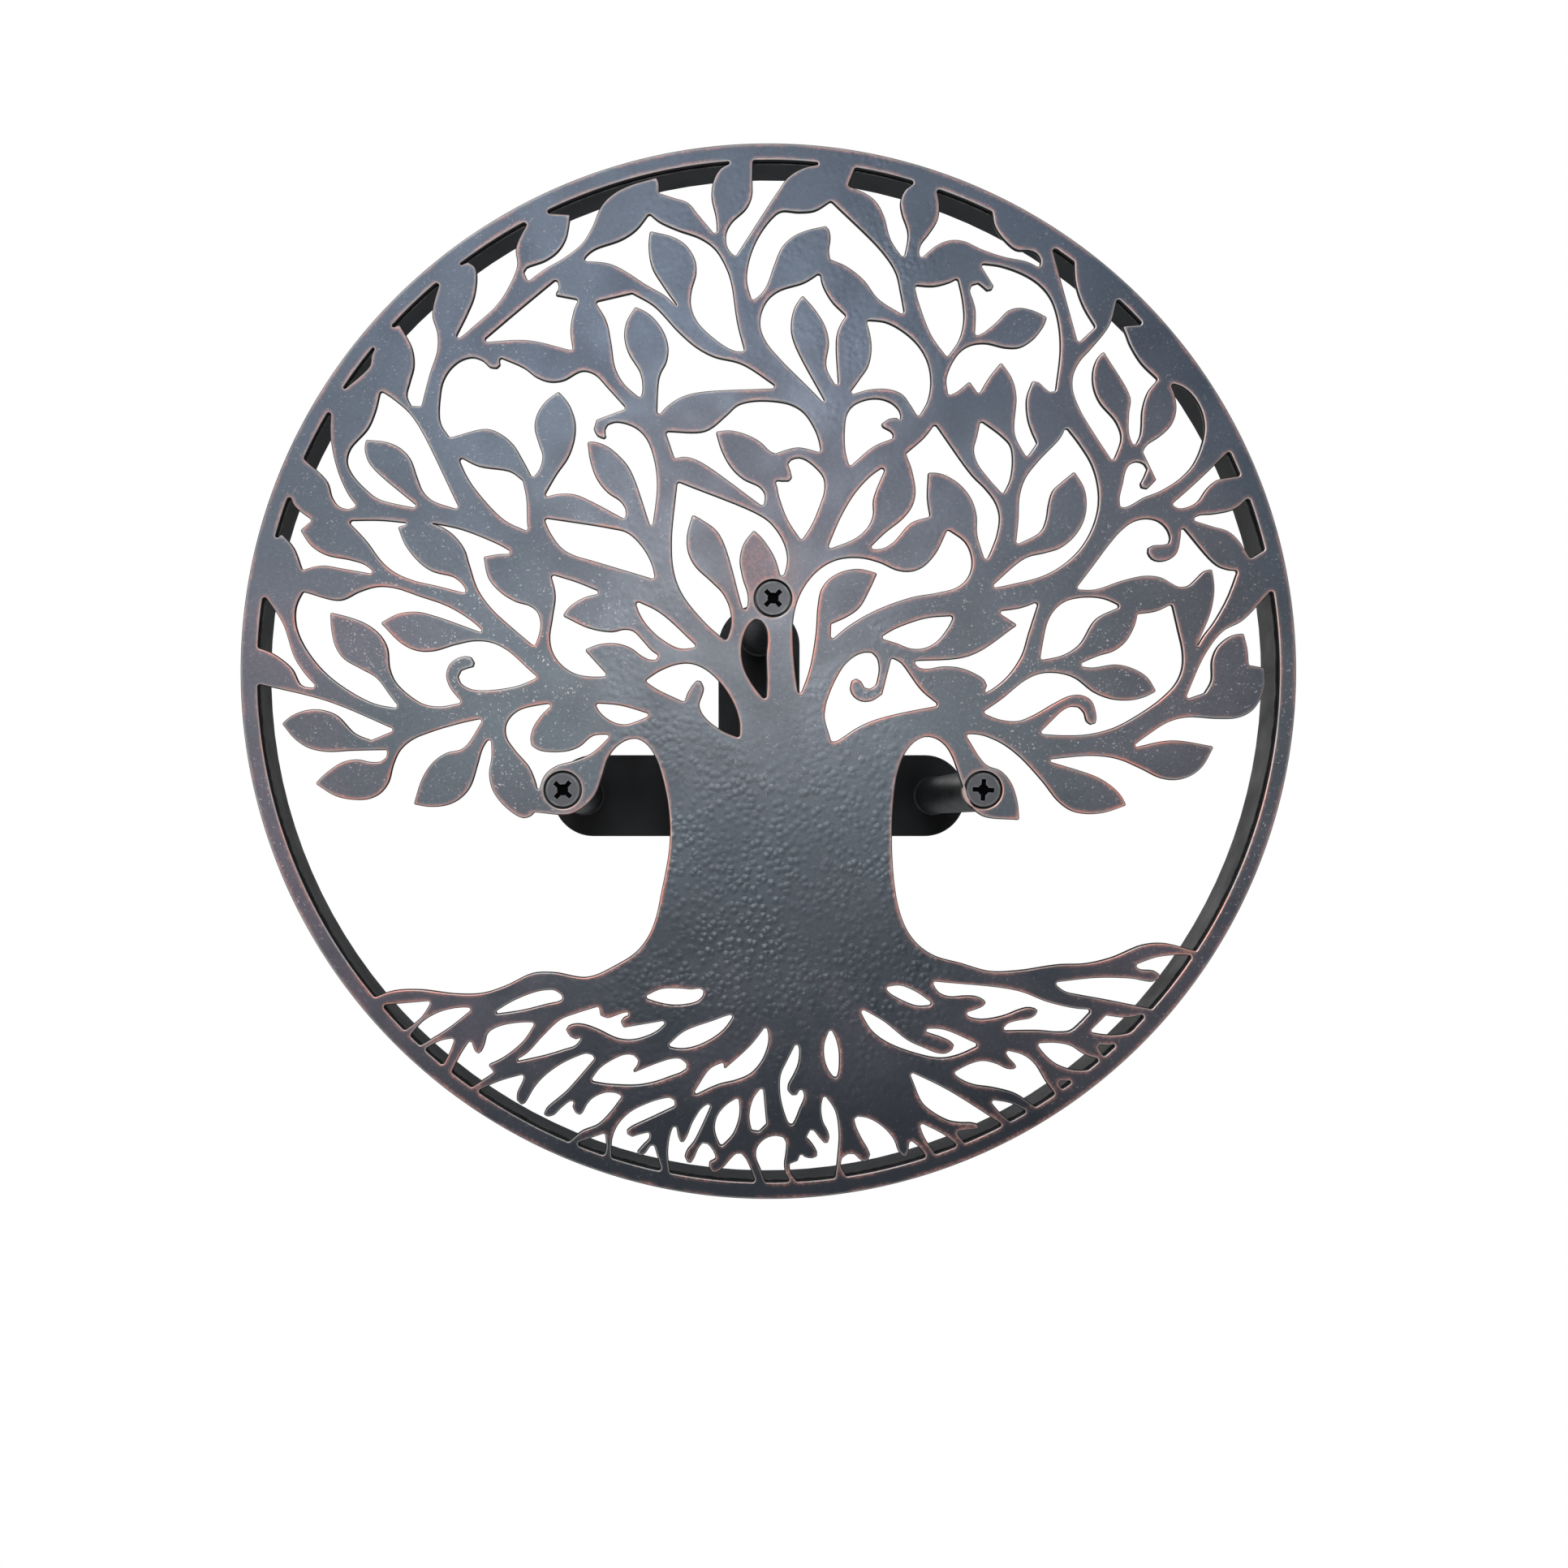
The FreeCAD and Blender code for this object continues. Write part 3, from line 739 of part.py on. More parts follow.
def draw_profile(sketch, corners):
    # straight-sided closed profile; each corner is a pair of formulas, "0" lies on an axis
    spots = [Vector(value_of(a), value_of(b), 0) for a, b in corners]
    count = len(corners)
    for i in range(count):
        sketch.addGeometry(Part.LineSegment(spots[i], spots[(i + 1) % count]))
    for i in range(count):
        sketch.addConstraint(Sketcher.Constraint("Coincident", i, 2, (i + 1) % count, 1))
    for i, (a, b) in enumerate(corners):
        if a == "0":
            sketch.addConstraint(Sketcher.Constraint("PointOnObject", i, 1, -2))
        else:
            bind(sketch, Sketcher.Constraint("DistanceX", -1, 1, i, 1, spots[i].x), a)
        if b == "0":
            sketch.addConstraint(Sketcher.Constraint("PointOnObject", i, 1, -1))
        else:
            bind(sketch, Sketcher.Constraint("DistanceY", -1, 1, i, 1, spots[i].y), b)


def turned(body, corners):
    sketch = new_sketch(body, body.Name + "Profile", "XY_Plane")
    draw_profile(sketch, corners)
    solid = body.newObject("PartDesign::Revolution", body.Name + "Turned")
    solid.Profile = sketch
    solid.ReferenceAxis = (sketch, ["V_Axis"])
    solid.Angle = 360
    return solid


def padded(body, sketch, formula):
    solid = body.newObject("PartDesign::Pad", sketch.Name + "Pad")
    solid.Profile = sketch
    solid.setExpression("Length", formula)
    return solid


def pocketed(body, sketch, formula):
    solid = body.newObject("PartDesign::Pocket", sketch.Name + "Pocket")
    solid.Profile = sketch
    solid.setExpression("Length", formula)
    return solid


def draw_circle(sketch, radius, x="0", y="0"):
    spot = Vector(value_of(x), value_of(y), 0)
    index = sketch.addGeometry(Part.Circle(spot, Vector(0, 0, 1), value_of(radius)))
    bind(sketch, Sketcher.Constraint("Radius", index, value_of(radius)), radius)
    if x == "0":
        sketch.addConstraint(Sketcher.Constraint("PointOnObject", index, 3, -2))
    else:
        bind(sketch, Sketcher.Constraint("DistanceX", -1, 1, index, 3, spot.x), x)
    if y == "0":
        sketch.addConstraint(Sketcher.Constraint("PointOnObject", index, 3, -1))
    else:
        bind(sketch, Sketcher.Constraint("DistanceY", -1, 1, index, 3, spot.y), y)


def draw_centred_box(sketch, width, height):
    w = value_of(width) / 2
    h = value_of(height) / 2
    spots = [Vector(-w, -h, 0), Vector(w, -h, 0), Vector(w, h, 0), Vector(-w, h, 0)]
    for i in range(4):
        sketch.addGeometry(Part.LineSegment(spots[i], spots[(i + 1) % 4]))
    for i in range(4):
        sketch.addConstraint(Sketcher.Constraint("Coincident", i, 2, (i + 1) % 4, 1))
    for i in (0, 2):
        sketch.addConstraint(Sketcher.Constraint("Horizontal", i))
    for i in (1, 3):
        sketch.addConstraint(Sketcher.Constraint("Vertical", i))
    sketch.addConstraint(Sketcher.Constraint("Symmetric", 0, 1, 2, 1, -1, 1))
    bind(sketch, Sketcher.Constraint("DistanceX", 0, 1, 0, 2, 2 * w), width)
    bind(sketch, Sketcher.Constraint("DistanceY", 1, 1, 1, 2, 2 * h), height)


def place(body, x, y, z):
    for axis, formula in (("x", x), ("y", y), ("z", z)):
        if formula != "0":
            body.setExpression("Placement.Base." + axis, formula)


# Rim hoop: flat bar rolled on edge, welded to the back of the ring

HOOP_INSIDE = "dims.disc_diameter / 2 - dims.ring_width - dims.hoop_inset"

rim_hoop = new_body("RimHoop", "rim_hoop")
hoop_sketch = new_sketch(rim_hoop, "HoopRing", "XZ_Plane")
draw_circle(hoop_sketch, HOOP_INSIDE)
draw_circle(hoop_sketch, HOOP_INSIDE + " + dims.hoop_thick")
padded(rim_hoop, hoop_sketch, "dims.hoop_depth")
place(rim_hoop, "dims.panel_shift", BACK_OF_PANEL + " + dims.hoop_depth", "dims.panel_rise")

# Back plate: a cross bar and an upright, both with rounded ends, with two holes for the wall


def draw_bar(sketch, half_width, from_x, to_x, from_y, to_y):
    # a round-ended bar from one end centre to the other, along x or along y
    r = value_of(half_width)
    a = Vector(value_of(from_x), value_of(from_y), 0)
    b = Vector(value_of(to_x), value_of(to_y), 0)
    along = (b - a).normalize()
    side = Vector(-along.y, along.x, 0) * r
    first = Part.Arc(a + side, a - along * r, a - side)
    second = Part.Arc(b - side, b + along * r, b + side)
    sketch.addGeometry(Part.LineSegment(b + side, a + side))
    sketch.addGeometry(first)
    sketch.addGeometry(Part.LineSegment(a - side, b - side))
    sketch.addGeometry(second)


back_plate = new_body("BackPlate", "back_plate")
END_REACH = "(dims.bar_overhang - dims.bar_width / 2)"
CROSS_END = "dims.standoff_spacing / 2 + " + END_REACH
UPRIGHT_END = "dims.standoff_rise + " + END_REACH


def bar_pad(name, formulas):
    # formulas: the end centres of the bar
    sketch = new_sketch(back_plate, name, "XZ_Plane")
    draw_bar(sketch, "dims.bar_width / 2", *formulas)
    for i in range(4):
        here = sketch.Geometry[i].EndPoint
        for k in range(4):
            for spot in (1, 2):
                there = sketch.Geometry[k].StartPoint if spot == 1 else sketch.Geometry[k].EndPoint
                if k != i and (here - there).Length < 1e-6:
                    sketch.addConstraint(Sketcher.Constraint("Tangent", i, 2, k, spot))
    bind(sketch, Sketcher.Constraint("Radius", 1, value_of("dims.bar_width / 2")), "dims.bar_width / 2")
    x1, x2, y1, y2 = formulas
    for arc, x, y in ((1, x1, y1), (3, x2, y2)):
        if x == "0":
            sketch.addConstraint(Sketcher.Constraint("PointOnObject", arc, 3, -2))
        else:
            bind(sketch, Sketcher.Constraint("DistanceX", -1, 1, arc, 3, value_of(x)), x)
        if y == "0":
            sketch.addConstraint(Sketcher.Constraint("PointOnObject", arc, 3, -1))
        else:
            bind(sketch, Sketcher.Constraint("DistanceY", -1, 1, arc, 3, value_of(y)), y)
    return padded(back_plate, sketch, "dims.plate_thick")


bar_pad("CrossBar", ("-(%s)" % CROSS_END, CROSS_END, "0", "0"))
bar_pad("UprightBar", ("0", "0", "dims.bar_width / 4", UPRIGHT_END))
wall_holes = new_sketch(back_plate, "WallHoles", "XZ_Plane")
draw_circle(wall_holes, "dims.wall_hole_diameter / 2", "-dims.wall_hole_spacing / 2")
draw_circle(wall_holes, "dims.wall_hole_diameter / 2", "dims.wall_hole_spacing / 2")
wall_pocket = pocketed(back_plate, wall_holes, "dims.plate_thick")
wall_pocket.Type = "ThroughAll"
wall_pocket.Midplane = True

# Standoffs: round bar, tapped at the front, with a weld fillet at the plate
# The profile starts at the front end and runs back to the plate.

TAP_RADIUS = "(dims.screw_diameter / 2 + dims.screw_clearance)"
MOUTH_RADIUS = "max(%s; %s + 0.1)" % (SINK_AT_BACK, TAP_RADIUS)

STANDOFF_PROFILE = [
    (MOUTH_RADIUS, "0"),
    ("dims.standoff_diameter / 2", "0"),
    ("dims.standoff_diameter / 2", "dims.standoff_length - dims.standoff_foot"),
    ("dims.standoff_diameter / 2 + dims.standoff_foot", "dims.standoff_length"),
    ("0", "dims.standoff_length"),
    ("0", "dims.tapped_depth"),
    (TAP_RADIUS, "dims.tapped_depth"),
    (TAP_RADIUS, "%s - %s" % (MOUTH_RADIUS, TAP_RADIUS)),
]
STANDOFF_PLACES = {
    "left": ("-dims.standoff_spacing / 2", "0"),
    "right": ("dims.standoff_spacing / 2", "0"),
    "top": ("0", "dims.standoff_rise"),
}
standoffs = []
for side, (x, z) in STANDOFF_PLACES.items():
    standoff = new_body("Standoff_" + side, "standoff_" + side)
    turned(standoff, STANDOFF_PROFILE)
    place(standoff, x, BACK_OF_PANEL, z)
    standoffs.append(standoff)

# Panel screws: countersunk heads with a cross recess, turned as they stopped

SCREW_PROFILE = [
    ("0", "0"),
    ("dims.head_diameter / 2", "0"),
    ("dims.head_diameter / 2", "dims.head_rim"),
    ("dims.screw_diameter / 2", "dims.head_rim + dims.head_diameter / 2 - dims.screw_diameter / 2"),
    ("dims.screw_diameter / 2", "dims.screw_length"),
    ("0", "dims.screw_length"),
]
RECESS_TURN = {"left": 42, "right": 3, "top": 46}
screws = []
for side, (x, z) in STANDOFF_PLACES.items():
    screw = new_body("PanelScrew_" + side, "panel_screw_" + side)
    turned(screw, SCREW_PROFILE)
    for slot, (width, height) in (("Across", ("dims.recess_span", "dims.recess_slot")),
                                  ("Upright", ("dims.recess_slot", "dims.recess_span"))):
        cross = new_sketch(screw, "Recess%s_%s" % (slot, side), "XZ_Plane")
        draw_centred_box(cross, width, height)
        pocketed(screw, cross, "dims.recess_depth")
    core = new_sketch(screw, "RecessCore_" + side, "XZ_Plane")
    draw_circle(core, "dims.recess_core / 2")
    pocketed(screw, core, "dims.core_depth")
    turn = FreeCAD.Rotation(Vector(0, 1, 0), RECESS_TURN[side])
    screw.Placement = FreeCAD.Placement(Vector(0, 0, 0), turn)
    place(screw, x, FRONT_OF_PANEL + " + dims.head_sink", z)
    screws.append(screw)

doc.recompute()

# Checks before the files are written

PARTS = [tree_panel, rim_hoop, back_plate] + standoffs + screws
for item in doc.Objects:
    for word in item.State:
        if word in ("Invalid", "Error"):
            raise RuntimeError("%s does not compute: %s" % (item.Label, word))
for item in PARTS:
    if item.Shape.isNull() or not item.Shape.isValid():
        raise RuntimeError("%s has no valid shape" % item.Label)
    if len(item.Shape.Solids) != 1:
        raise RuntimeError("%s is %d pieces" % (item.Label, len(item.Shape.Solids)))
for screw in screws:
    tip = screw.Tip
    if tip.Shape.Volume >= tip.BaseFeature.Shape.Volume:
        raise RuntimeError("%s has no recess" % screw.Label)

os.makedirs("parts", exist_ok=True)
for item in PARTS:
    item.Shape.exportStep("parts/%s.step" % item.Label)
    box = item.Shape.BoundBox
    print("%s: %.1f x %.1f x %.1f mm" % (item.Label, box.XLength, box.YLength, box.ZLength))
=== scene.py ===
import bpy
import bmesh
import math
from mathutils import Matrix, Vector


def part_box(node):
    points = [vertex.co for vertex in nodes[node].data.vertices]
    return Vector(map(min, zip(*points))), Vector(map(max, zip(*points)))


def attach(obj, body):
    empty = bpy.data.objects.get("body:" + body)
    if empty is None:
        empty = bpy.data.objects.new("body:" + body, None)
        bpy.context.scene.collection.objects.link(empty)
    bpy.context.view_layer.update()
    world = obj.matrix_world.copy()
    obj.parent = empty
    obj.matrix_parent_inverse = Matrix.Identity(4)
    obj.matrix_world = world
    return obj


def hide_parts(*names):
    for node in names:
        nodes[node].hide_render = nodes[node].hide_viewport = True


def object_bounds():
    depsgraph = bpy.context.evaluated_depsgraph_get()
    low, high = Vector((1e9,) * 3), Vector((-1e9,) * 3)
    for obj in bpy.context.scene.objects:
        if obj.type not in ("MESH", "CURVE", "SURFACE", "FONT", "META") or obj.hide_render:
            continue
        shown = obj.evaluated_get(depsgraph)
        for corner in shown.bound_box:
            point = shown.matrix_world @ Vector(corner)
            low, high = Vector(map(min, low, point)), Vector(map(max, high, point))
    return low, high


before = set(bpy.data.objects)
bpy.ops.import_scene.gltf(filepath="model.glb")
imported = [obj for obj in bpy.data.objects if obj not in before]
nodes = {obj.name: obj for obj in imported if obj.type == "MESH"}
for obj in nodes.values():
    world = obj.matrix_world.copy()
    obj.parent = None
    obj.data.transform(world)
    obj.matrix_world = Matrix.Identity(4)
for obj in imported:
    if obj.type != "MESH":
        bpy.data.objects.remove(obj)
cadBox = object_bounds()
print("frame loaded:", len(nodes), "nodes")

scene = bpy.context.scene


# Node helpers

def srgb(r, g, b):
    def linear(value):
        value = value / 255
        return value / 12.92 if value <= 0.04045 else ((value + 0.055) / 1.055) ** 2.4
    return (linear(r), linear(g), linear(b), 1.0)


class Shader:
    # adds nodes to a material or to the world and links them by the name or number of a socket

    def __init__(self, owner, output="ShaderNodeOutputMaterial"):
        owner.use_nodes = True
        self.owner = owner
        self.tree = owner.node_tree
        self.tree.nodes.clear()
        self.out = self.tree.nodes.new(output)
        self.spot = self.tree.nodes.new("ShaderNodeTexCoord")
        self.place = self.spot.outputs["Object"]

    def put(self, value, socket):
        if isinstance(value, bpy.types.NodeSocket):
            self.tree.links.new(value, socket)
        else:
            socket.default_value = value

    def node(self, kind, inputs=None, **settings):
        made = self.tree.nodes.new(kind)
        for key, value in settings.items():
            setattr(made, key, value)
        for key, value in (inputs or {}).items():
            self.put(value, made.inputs[key])
        return made

    def noise(self, scale, detail=2.0, rough=0.5):
        made = self.node("ShaderNodeTexNoise", {"Vector": self.place, "Scale": scale,
                                                "Detail": detail, "Roughness": rough})
        return made.outputs["Fac"]

    def span(self, value, low, high, to_low=0.0, to_high=1.0):
        made = self.node("ShaderNodeMapRange", {"Value": value, "From Min": low, "From Max": high,
                                                "To Min": to_low, "To Max": to_high})
        return made.outputs["Result"]

    def math(self, operation, a, b=0.0):
        return self.node("ShaderNodeMath", {0: a, 1: b}, operation=operation).outputs[0]

    def times(self, first, *others):
        # the product of all the values
        for other in others:
            first = self.math("MULTIPLY", first, other)
        return first

    def mix(self, factor, a, b):
        return self.node("ShaderNodeMix", {0: factor, 6: a, 7: b}, data_type="RGBA").outputs[2]

    def axis(self, letter):
        return self.node("ShaderNodeSeparateXYZ", {"Vector": self.place}).outputs[letter]

    def distance(self, point):
        made = self.node("ShaderNodeVectorMath", {0: self.place, 1: point}, operation="DISTANCE")
        return made.outputs["Value"]

    def scaled(self, colour, factor):
        made = self.node("ShaderNodeVectorMath", {0: colour, "Scale": factor}, operation="SCALE")
        return made.outputs[0]

    def facing(self):
        # one on faces that look along Y, zero on the cut walls between them
        split = self.node("ShaderNodeSeparateXYZ", {"Vector": self.spot.outputs["Normal"]})
        return self.math("ABSOLUTE", split.outputs["Y"])

    def closed(self, reach):
        # lower the closer a point is to an edge of the metal, one on its open faces
        made = self.node("ShaderNodeAmbientOcclusion", {"Distance": reach},
                         inside=True, only_local=True, samples=6)
        return made.outputs["AO"]

    def seen(self):
        # one where the backdrop is seen by the camera, straight or through glass
        ray = self.node("ShaderNodeLightPath")
        return self.math("MAXIMUM", ray.outputs["Is Camera Ray"], ray.outputs["Is Transmission Ray"])

    def coat(self, colour, metallic, rough, bump, **more):
        made = self.node("ShaderNodeBsdfPrincipled", {"Base Color": colour, "Metallic": metallic,
                                                      "Roughness": rough, "Normal": bump.outputs["Normal"]})
        for key, value in more.items():
            self.put(value, made.inputs[key])
        return self.surface(made)

    def surface(self, shader):
        self.put(shader.outputs[0], self.out.inputs["Surface"])
        return self.owner


# The tree panel with smooth cut edges: it follows the CAD sheet's outline, eased between the corners

sheetForm = {
    "weld": 0.00001,
    "flat": 0.00001,
    "step": 0.0011,
    "most_steps": 8,
    "corner_turn": math.radians(42),
    "sharpest_turn": math.radians(165),
    "corner_radius": 0.00065,
    "corner_reach": 0.0022,
    "side_share": 0.42,
    "loop_share": 0.2,
    "arc_degrees": 18,
    "fewest_arc_steps": 3,
    "least_half_turn": 0.05,
    "edge_round": 0.0006,
    "edge_steps": 2,
    "flat_normal": 0.999,
    "screw_hole_least": 0.005,
    "screw_hole_most": 0.0062,
    "screw_hole_gap": 0.00028,
}


def frontLoops(node):
    # the closed outlines of the node's front face, as lists of (x, z) points, and the face's y
    work = bmesh.new()
    work.from_mesh(node.data)
    bmesh.ops.remove_doubles(work, verts=work.verts, dist=sheetForm["weld"])
    front = min(v.co.y for v in work.verts)

    def inFront(face):
        return all(abs(v.co.y - front) <= sheetForm["flat"] for v in face.verts)

    following = {}
    for face in filter(inFront, work.faces):
        for loop in face.loops:
            if not any(inFront(other) for other in loop.edge.link_faces if other is not face):
                following[loop.vert.index] = loop.link_loop_next.vert.index
    points = {v.index: (v.co.x, v.co.z) for v in work.verts}
    work.free()
    loops = []
    while following:
        start, after = following.popitem()
        path = [start]
        while after in following:
            path.append(after)
            after = following.pop(after)
        loops.append([Vector(points[i]) for i in path])
    return loops, front


def eased(loop):
    # a smooth line through the points, and the places of its corners
    count = len(loop)

    def turn(i):
        a = loop[i] - loop[i - 1]
        b = loop[(i + 1) % count] - loop[i]
        return abs(a.angle(b, 0.0))

    def knot(a, b):
        return max((b - a).length, 1e-9) ** 0.5

    corner = [turn(i) > sheetForm["corner_turn"] for i in range(count)]
    made = []
    corners = []
    for i in range(count):
        if corner[i]:
            corners.append(len(made))
        p1 = loop[i]
        p2 = loop[(i + 1) % count]
        p0 = p1 - (p2 - p1) if corner[i] else loop[i - 1]
        p3 = p2 + (p2 - p1) if corner[(i + 1) % count] else loop[(i + 2) % count]
        before = knot(p0, p1)
        here = knot(p1, p2)
        behind = knot(p2, p3)
        t1 = before
        t2 = before + here
        t3 = before + here + behind
        steps = max(1, min(sheetForm["most_steps"], round((p2 - p1).length / sheetForm["step"])))
        if corner[i] and corner[(i + 1) % count]:
            steps = 1
        for k in range(steps):
            t = t1 + here * k / steps
            a1 = p0 * ((t1 - t) / t1) + p1 * (t / t1)
            a2 = p1 * ((t2 - t) / here) + p2 * ((t - t1) / here)
            a3 = p2 * ((t3 - t) / behind) + p3 * ((t - t2) / behind)
            b1 = a1 * ((t2 - t) / t2) + a2 * (t / t2)
            b2 = a2 * ((t3 - t) / (t3 - t1)) + a3 * ((t - t1) / (t3 - t1))
            made.append(b1 * ((t2 - t) / here) + b2 * ((t - t1) / here))
    return made, corners


def leg(path, start, way, reach):
    # a walk of a given length from a corner: the last whole point, where it ends, and the way back
    count = len(path)
    i = start
    left = reach
    while True:
        a = path[i % count]
        b = path[(i + way) % count]
        length = (b - a).length
        if length >= left:
            return i, a + (b - a) * (left / length), (a - b).normalized()
        left -= length
        i += way


def cornerCuts(path, corners):
    # how far from each corner its arc starts, less where the sides or the whole line are short
    count = len(path)
    steps = [(path[(i + 1) % count] - path[i]).length for i in range(count)]
    around = sum(steps)
    cuts = []
    for n, i in enumerate(corners):
        before = corners[n - 1]
        after = corners[(n + 1) % len(corners)]
        room_before = sum(steps[k % count] for k in range(before, i if i > before else i + count))
        room_after = sum(steps[k % count] for k in range(i, after if after > i else after + count))
        a = (path[i] - path[i - 1]).normalized()
        b = (path[(i + 1) % count] - path[i]).normalized()
        turn = min(abs(a.angle(b, 0.0)), sheetForm["sharpest_turn"])
        half = (math.pi - turn) / 2
        reach = min(sheetForm["corner_radius"] / math.tan(half), sheetForm["corner_reach"],
                    sheetForm["side_share"] * room_before, sheetForm["side_share"] * room_after,
                    sheetForm["loop_share"] * around)
        cuts.append((i, reach))
    return cuts


def rounded(path, corners):
    # the same line with each corner turned into a small arc, as the cutter left them
    if not corners:
        return path
    count = len(path)
    cuts = cornerCuts(path, corners)
    made = []
    for n, (i, reach) in enumerate(cuts):
        start, into = leg(path, i, -1, reach)[1:]
        last, end, out = leg(path, i, 1, reach)
        turn = abs(into.angle(-out, 0.0))
        half = max((math.pi - turn) / 2, sheetForm["least_half_turn"])
        handle = 4 / 3 * math.tan(turn / 4) * reach * math.tan(half)
        p1 = start + into * handle
        p2 = end + out * handle
        pieces = max(sheetForm["fewest_arc_steps"], round(math.degrees(turn) / sheetForm["arc_degrees"]))
        for k in range(pieces + 1):
            t = k / pieces
            u = 1 - t
            made.append(start * u ** 3 + p1 * (3 * t * u ** 2) + p2 * (3 * t * t * u) + end * t ** 3)
        follow, reach_after = cuts[(n + 1) % len(cuts)]
        if follow <= i:
            follow += count
        stop = leg(path, follow, -1, reach_after)[0]
        for k in range(last + 1, stop):
            made.append(path[k % count])
    return made


def loosened(path):
    # the three screw holes a little wider, so a dark line shows round each head; other lines unchanged
    middle = sum(path, Vector((0, 0))) / len(path)
    reach = [(point - middle).length for point in path]
    if min(reach) < sheetForm["screw_hole_least"] or max(reach) > sheetForm["screw_hole_most"]:
        return path
    factor = 1 + sheetForm["screw_hole_gap"] / max(reach)
    return [middle + (point - middle) * factor for point in path]


def makeTreeSheet(node):
    loops, front = frontLoops(node)
    back = max(v.co.y for v in node.data.vertices)
    drawing = bpy.data.curves.new("tree_drawing", "CURVE")
    drawing.dimensions = "2D"
    drawing.fill_mode = "BOTH"
    drawing.bevel_mode = "ROUND"
    drawing.bevel_depth = sheetForm["edge_round"]
    drawing.bevel_resolution = sheetForm["edge_steps"]
    drawing.offset = -sheetForm["edge_round"]
    drawing.extrude = (back - front) / 2 - sheetForm["edge_round"]
    for loop in loops:
        path = loosened(rounded(*eased(loop)))
        spline = drawing.splines.new("POLY")
        spline.points.add(len(path) - 1)
        for point, spot in zip(spline.points, path):
            point.co = (spot.x, spot.y, 0.0, 1.0)
        spline.use_cyclic_u = True
    holder = bpy.data.objects.new("tree_drawing", drawing)
    scene.collection.objects.link(holder)
    mesh = bpy.data.meshes.new_from_object(holder.evaluated_get(bpy.context.evaluated_depsgraph_get()))
    bpy.data.objects.remove(holder)
    mesh.name = "tree_sheet"
    mesh.transform(Matrix.Translation((0, (front + back) / 2, 0)) @ Matrix.Rotation(math.pi / 2, 4, "X"))
    # the smooth circle passes the CAD mesh's chords by a few hundredths of a millimetre
    low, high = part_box("tree_panel")
    for vertex in mesh.vertices:
        vertex.co = [min(max(value, least), most) for value, least, most in zip(vertex.co, low, high)]
    for face in mesh.polygons:
        face.use_smooth = abs(face.normal.y) < sheetForm["flat_normal"]
    piece = bpy.data.objects.new("tree_sheet", mesh)
    scene.collection.objects.link(piece)
    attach(piece, "root")
    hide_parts("tree_panel")
    print("tree sheet:", len(loops), "outlines,", len(mesh.polygons), "faces")
    return piece


treeSheet = makeTreeSheet(nodes["tree_panel"])

# Powder-coated sheet of the tree, with copper at worn edges; its tone steps with height, partly painted
# light: painted sky reflection, painted sheen and painted shade

panelLook = {
    # tones by height, partly the coat's own and partly painted light: bluer crown for the sky's reflection,
    # lighter middle for a painted sheen, dark roots for painted shade
    "crown": srgb(59, 67, 79),
    "middle": srgb(79, 85, 91),
    "roots": srgb(29, 34, 41),
    "right": srgb(98, 84, 84),
    "patina": srgb(92, 80, 90),
    # painted shade on the cut walls
    "wall": srgb(24, 24, 27),
    # pale painted highlight on the rounded rims of the cuts
    "rim": srgb(158, 154, 150),
    "copper": srgb(205, 138, 122),
    "rust": srgb(158, 106, 97),
    "fleck": srgb(176, 170, 168),
    "metallic": 0.45,
    "roughness": 0.41,
    "crown_heights": (0.04, 0.13),
    "roots_heights": (-0.11, 0.02),
    "right_share": 0.25,
    "cloud_scale": 26.0,
    "mottle_scale": 800.0,
    "fleck_scale": 1450.0,
    "stroke_scale": 480.0,
    "scratch_scale": 1100.0,
    "peel_scale": 430.0,
    "peel_depth": 0.00021,
    "grain_scale": 2400.0,
    "grain_share": 0.03,
    "worn_reach": 0.0017,
    "trunk_half": 0.05,
    "trunk_fade": 0.012,
    "rubbed_leaf": (-0.0034, -0.106, 0.0713),
    "leaf_reach": 0.014,
}
panelCentre = (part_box("tree_panel")[0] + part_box("tree_panel")[1]) / 2


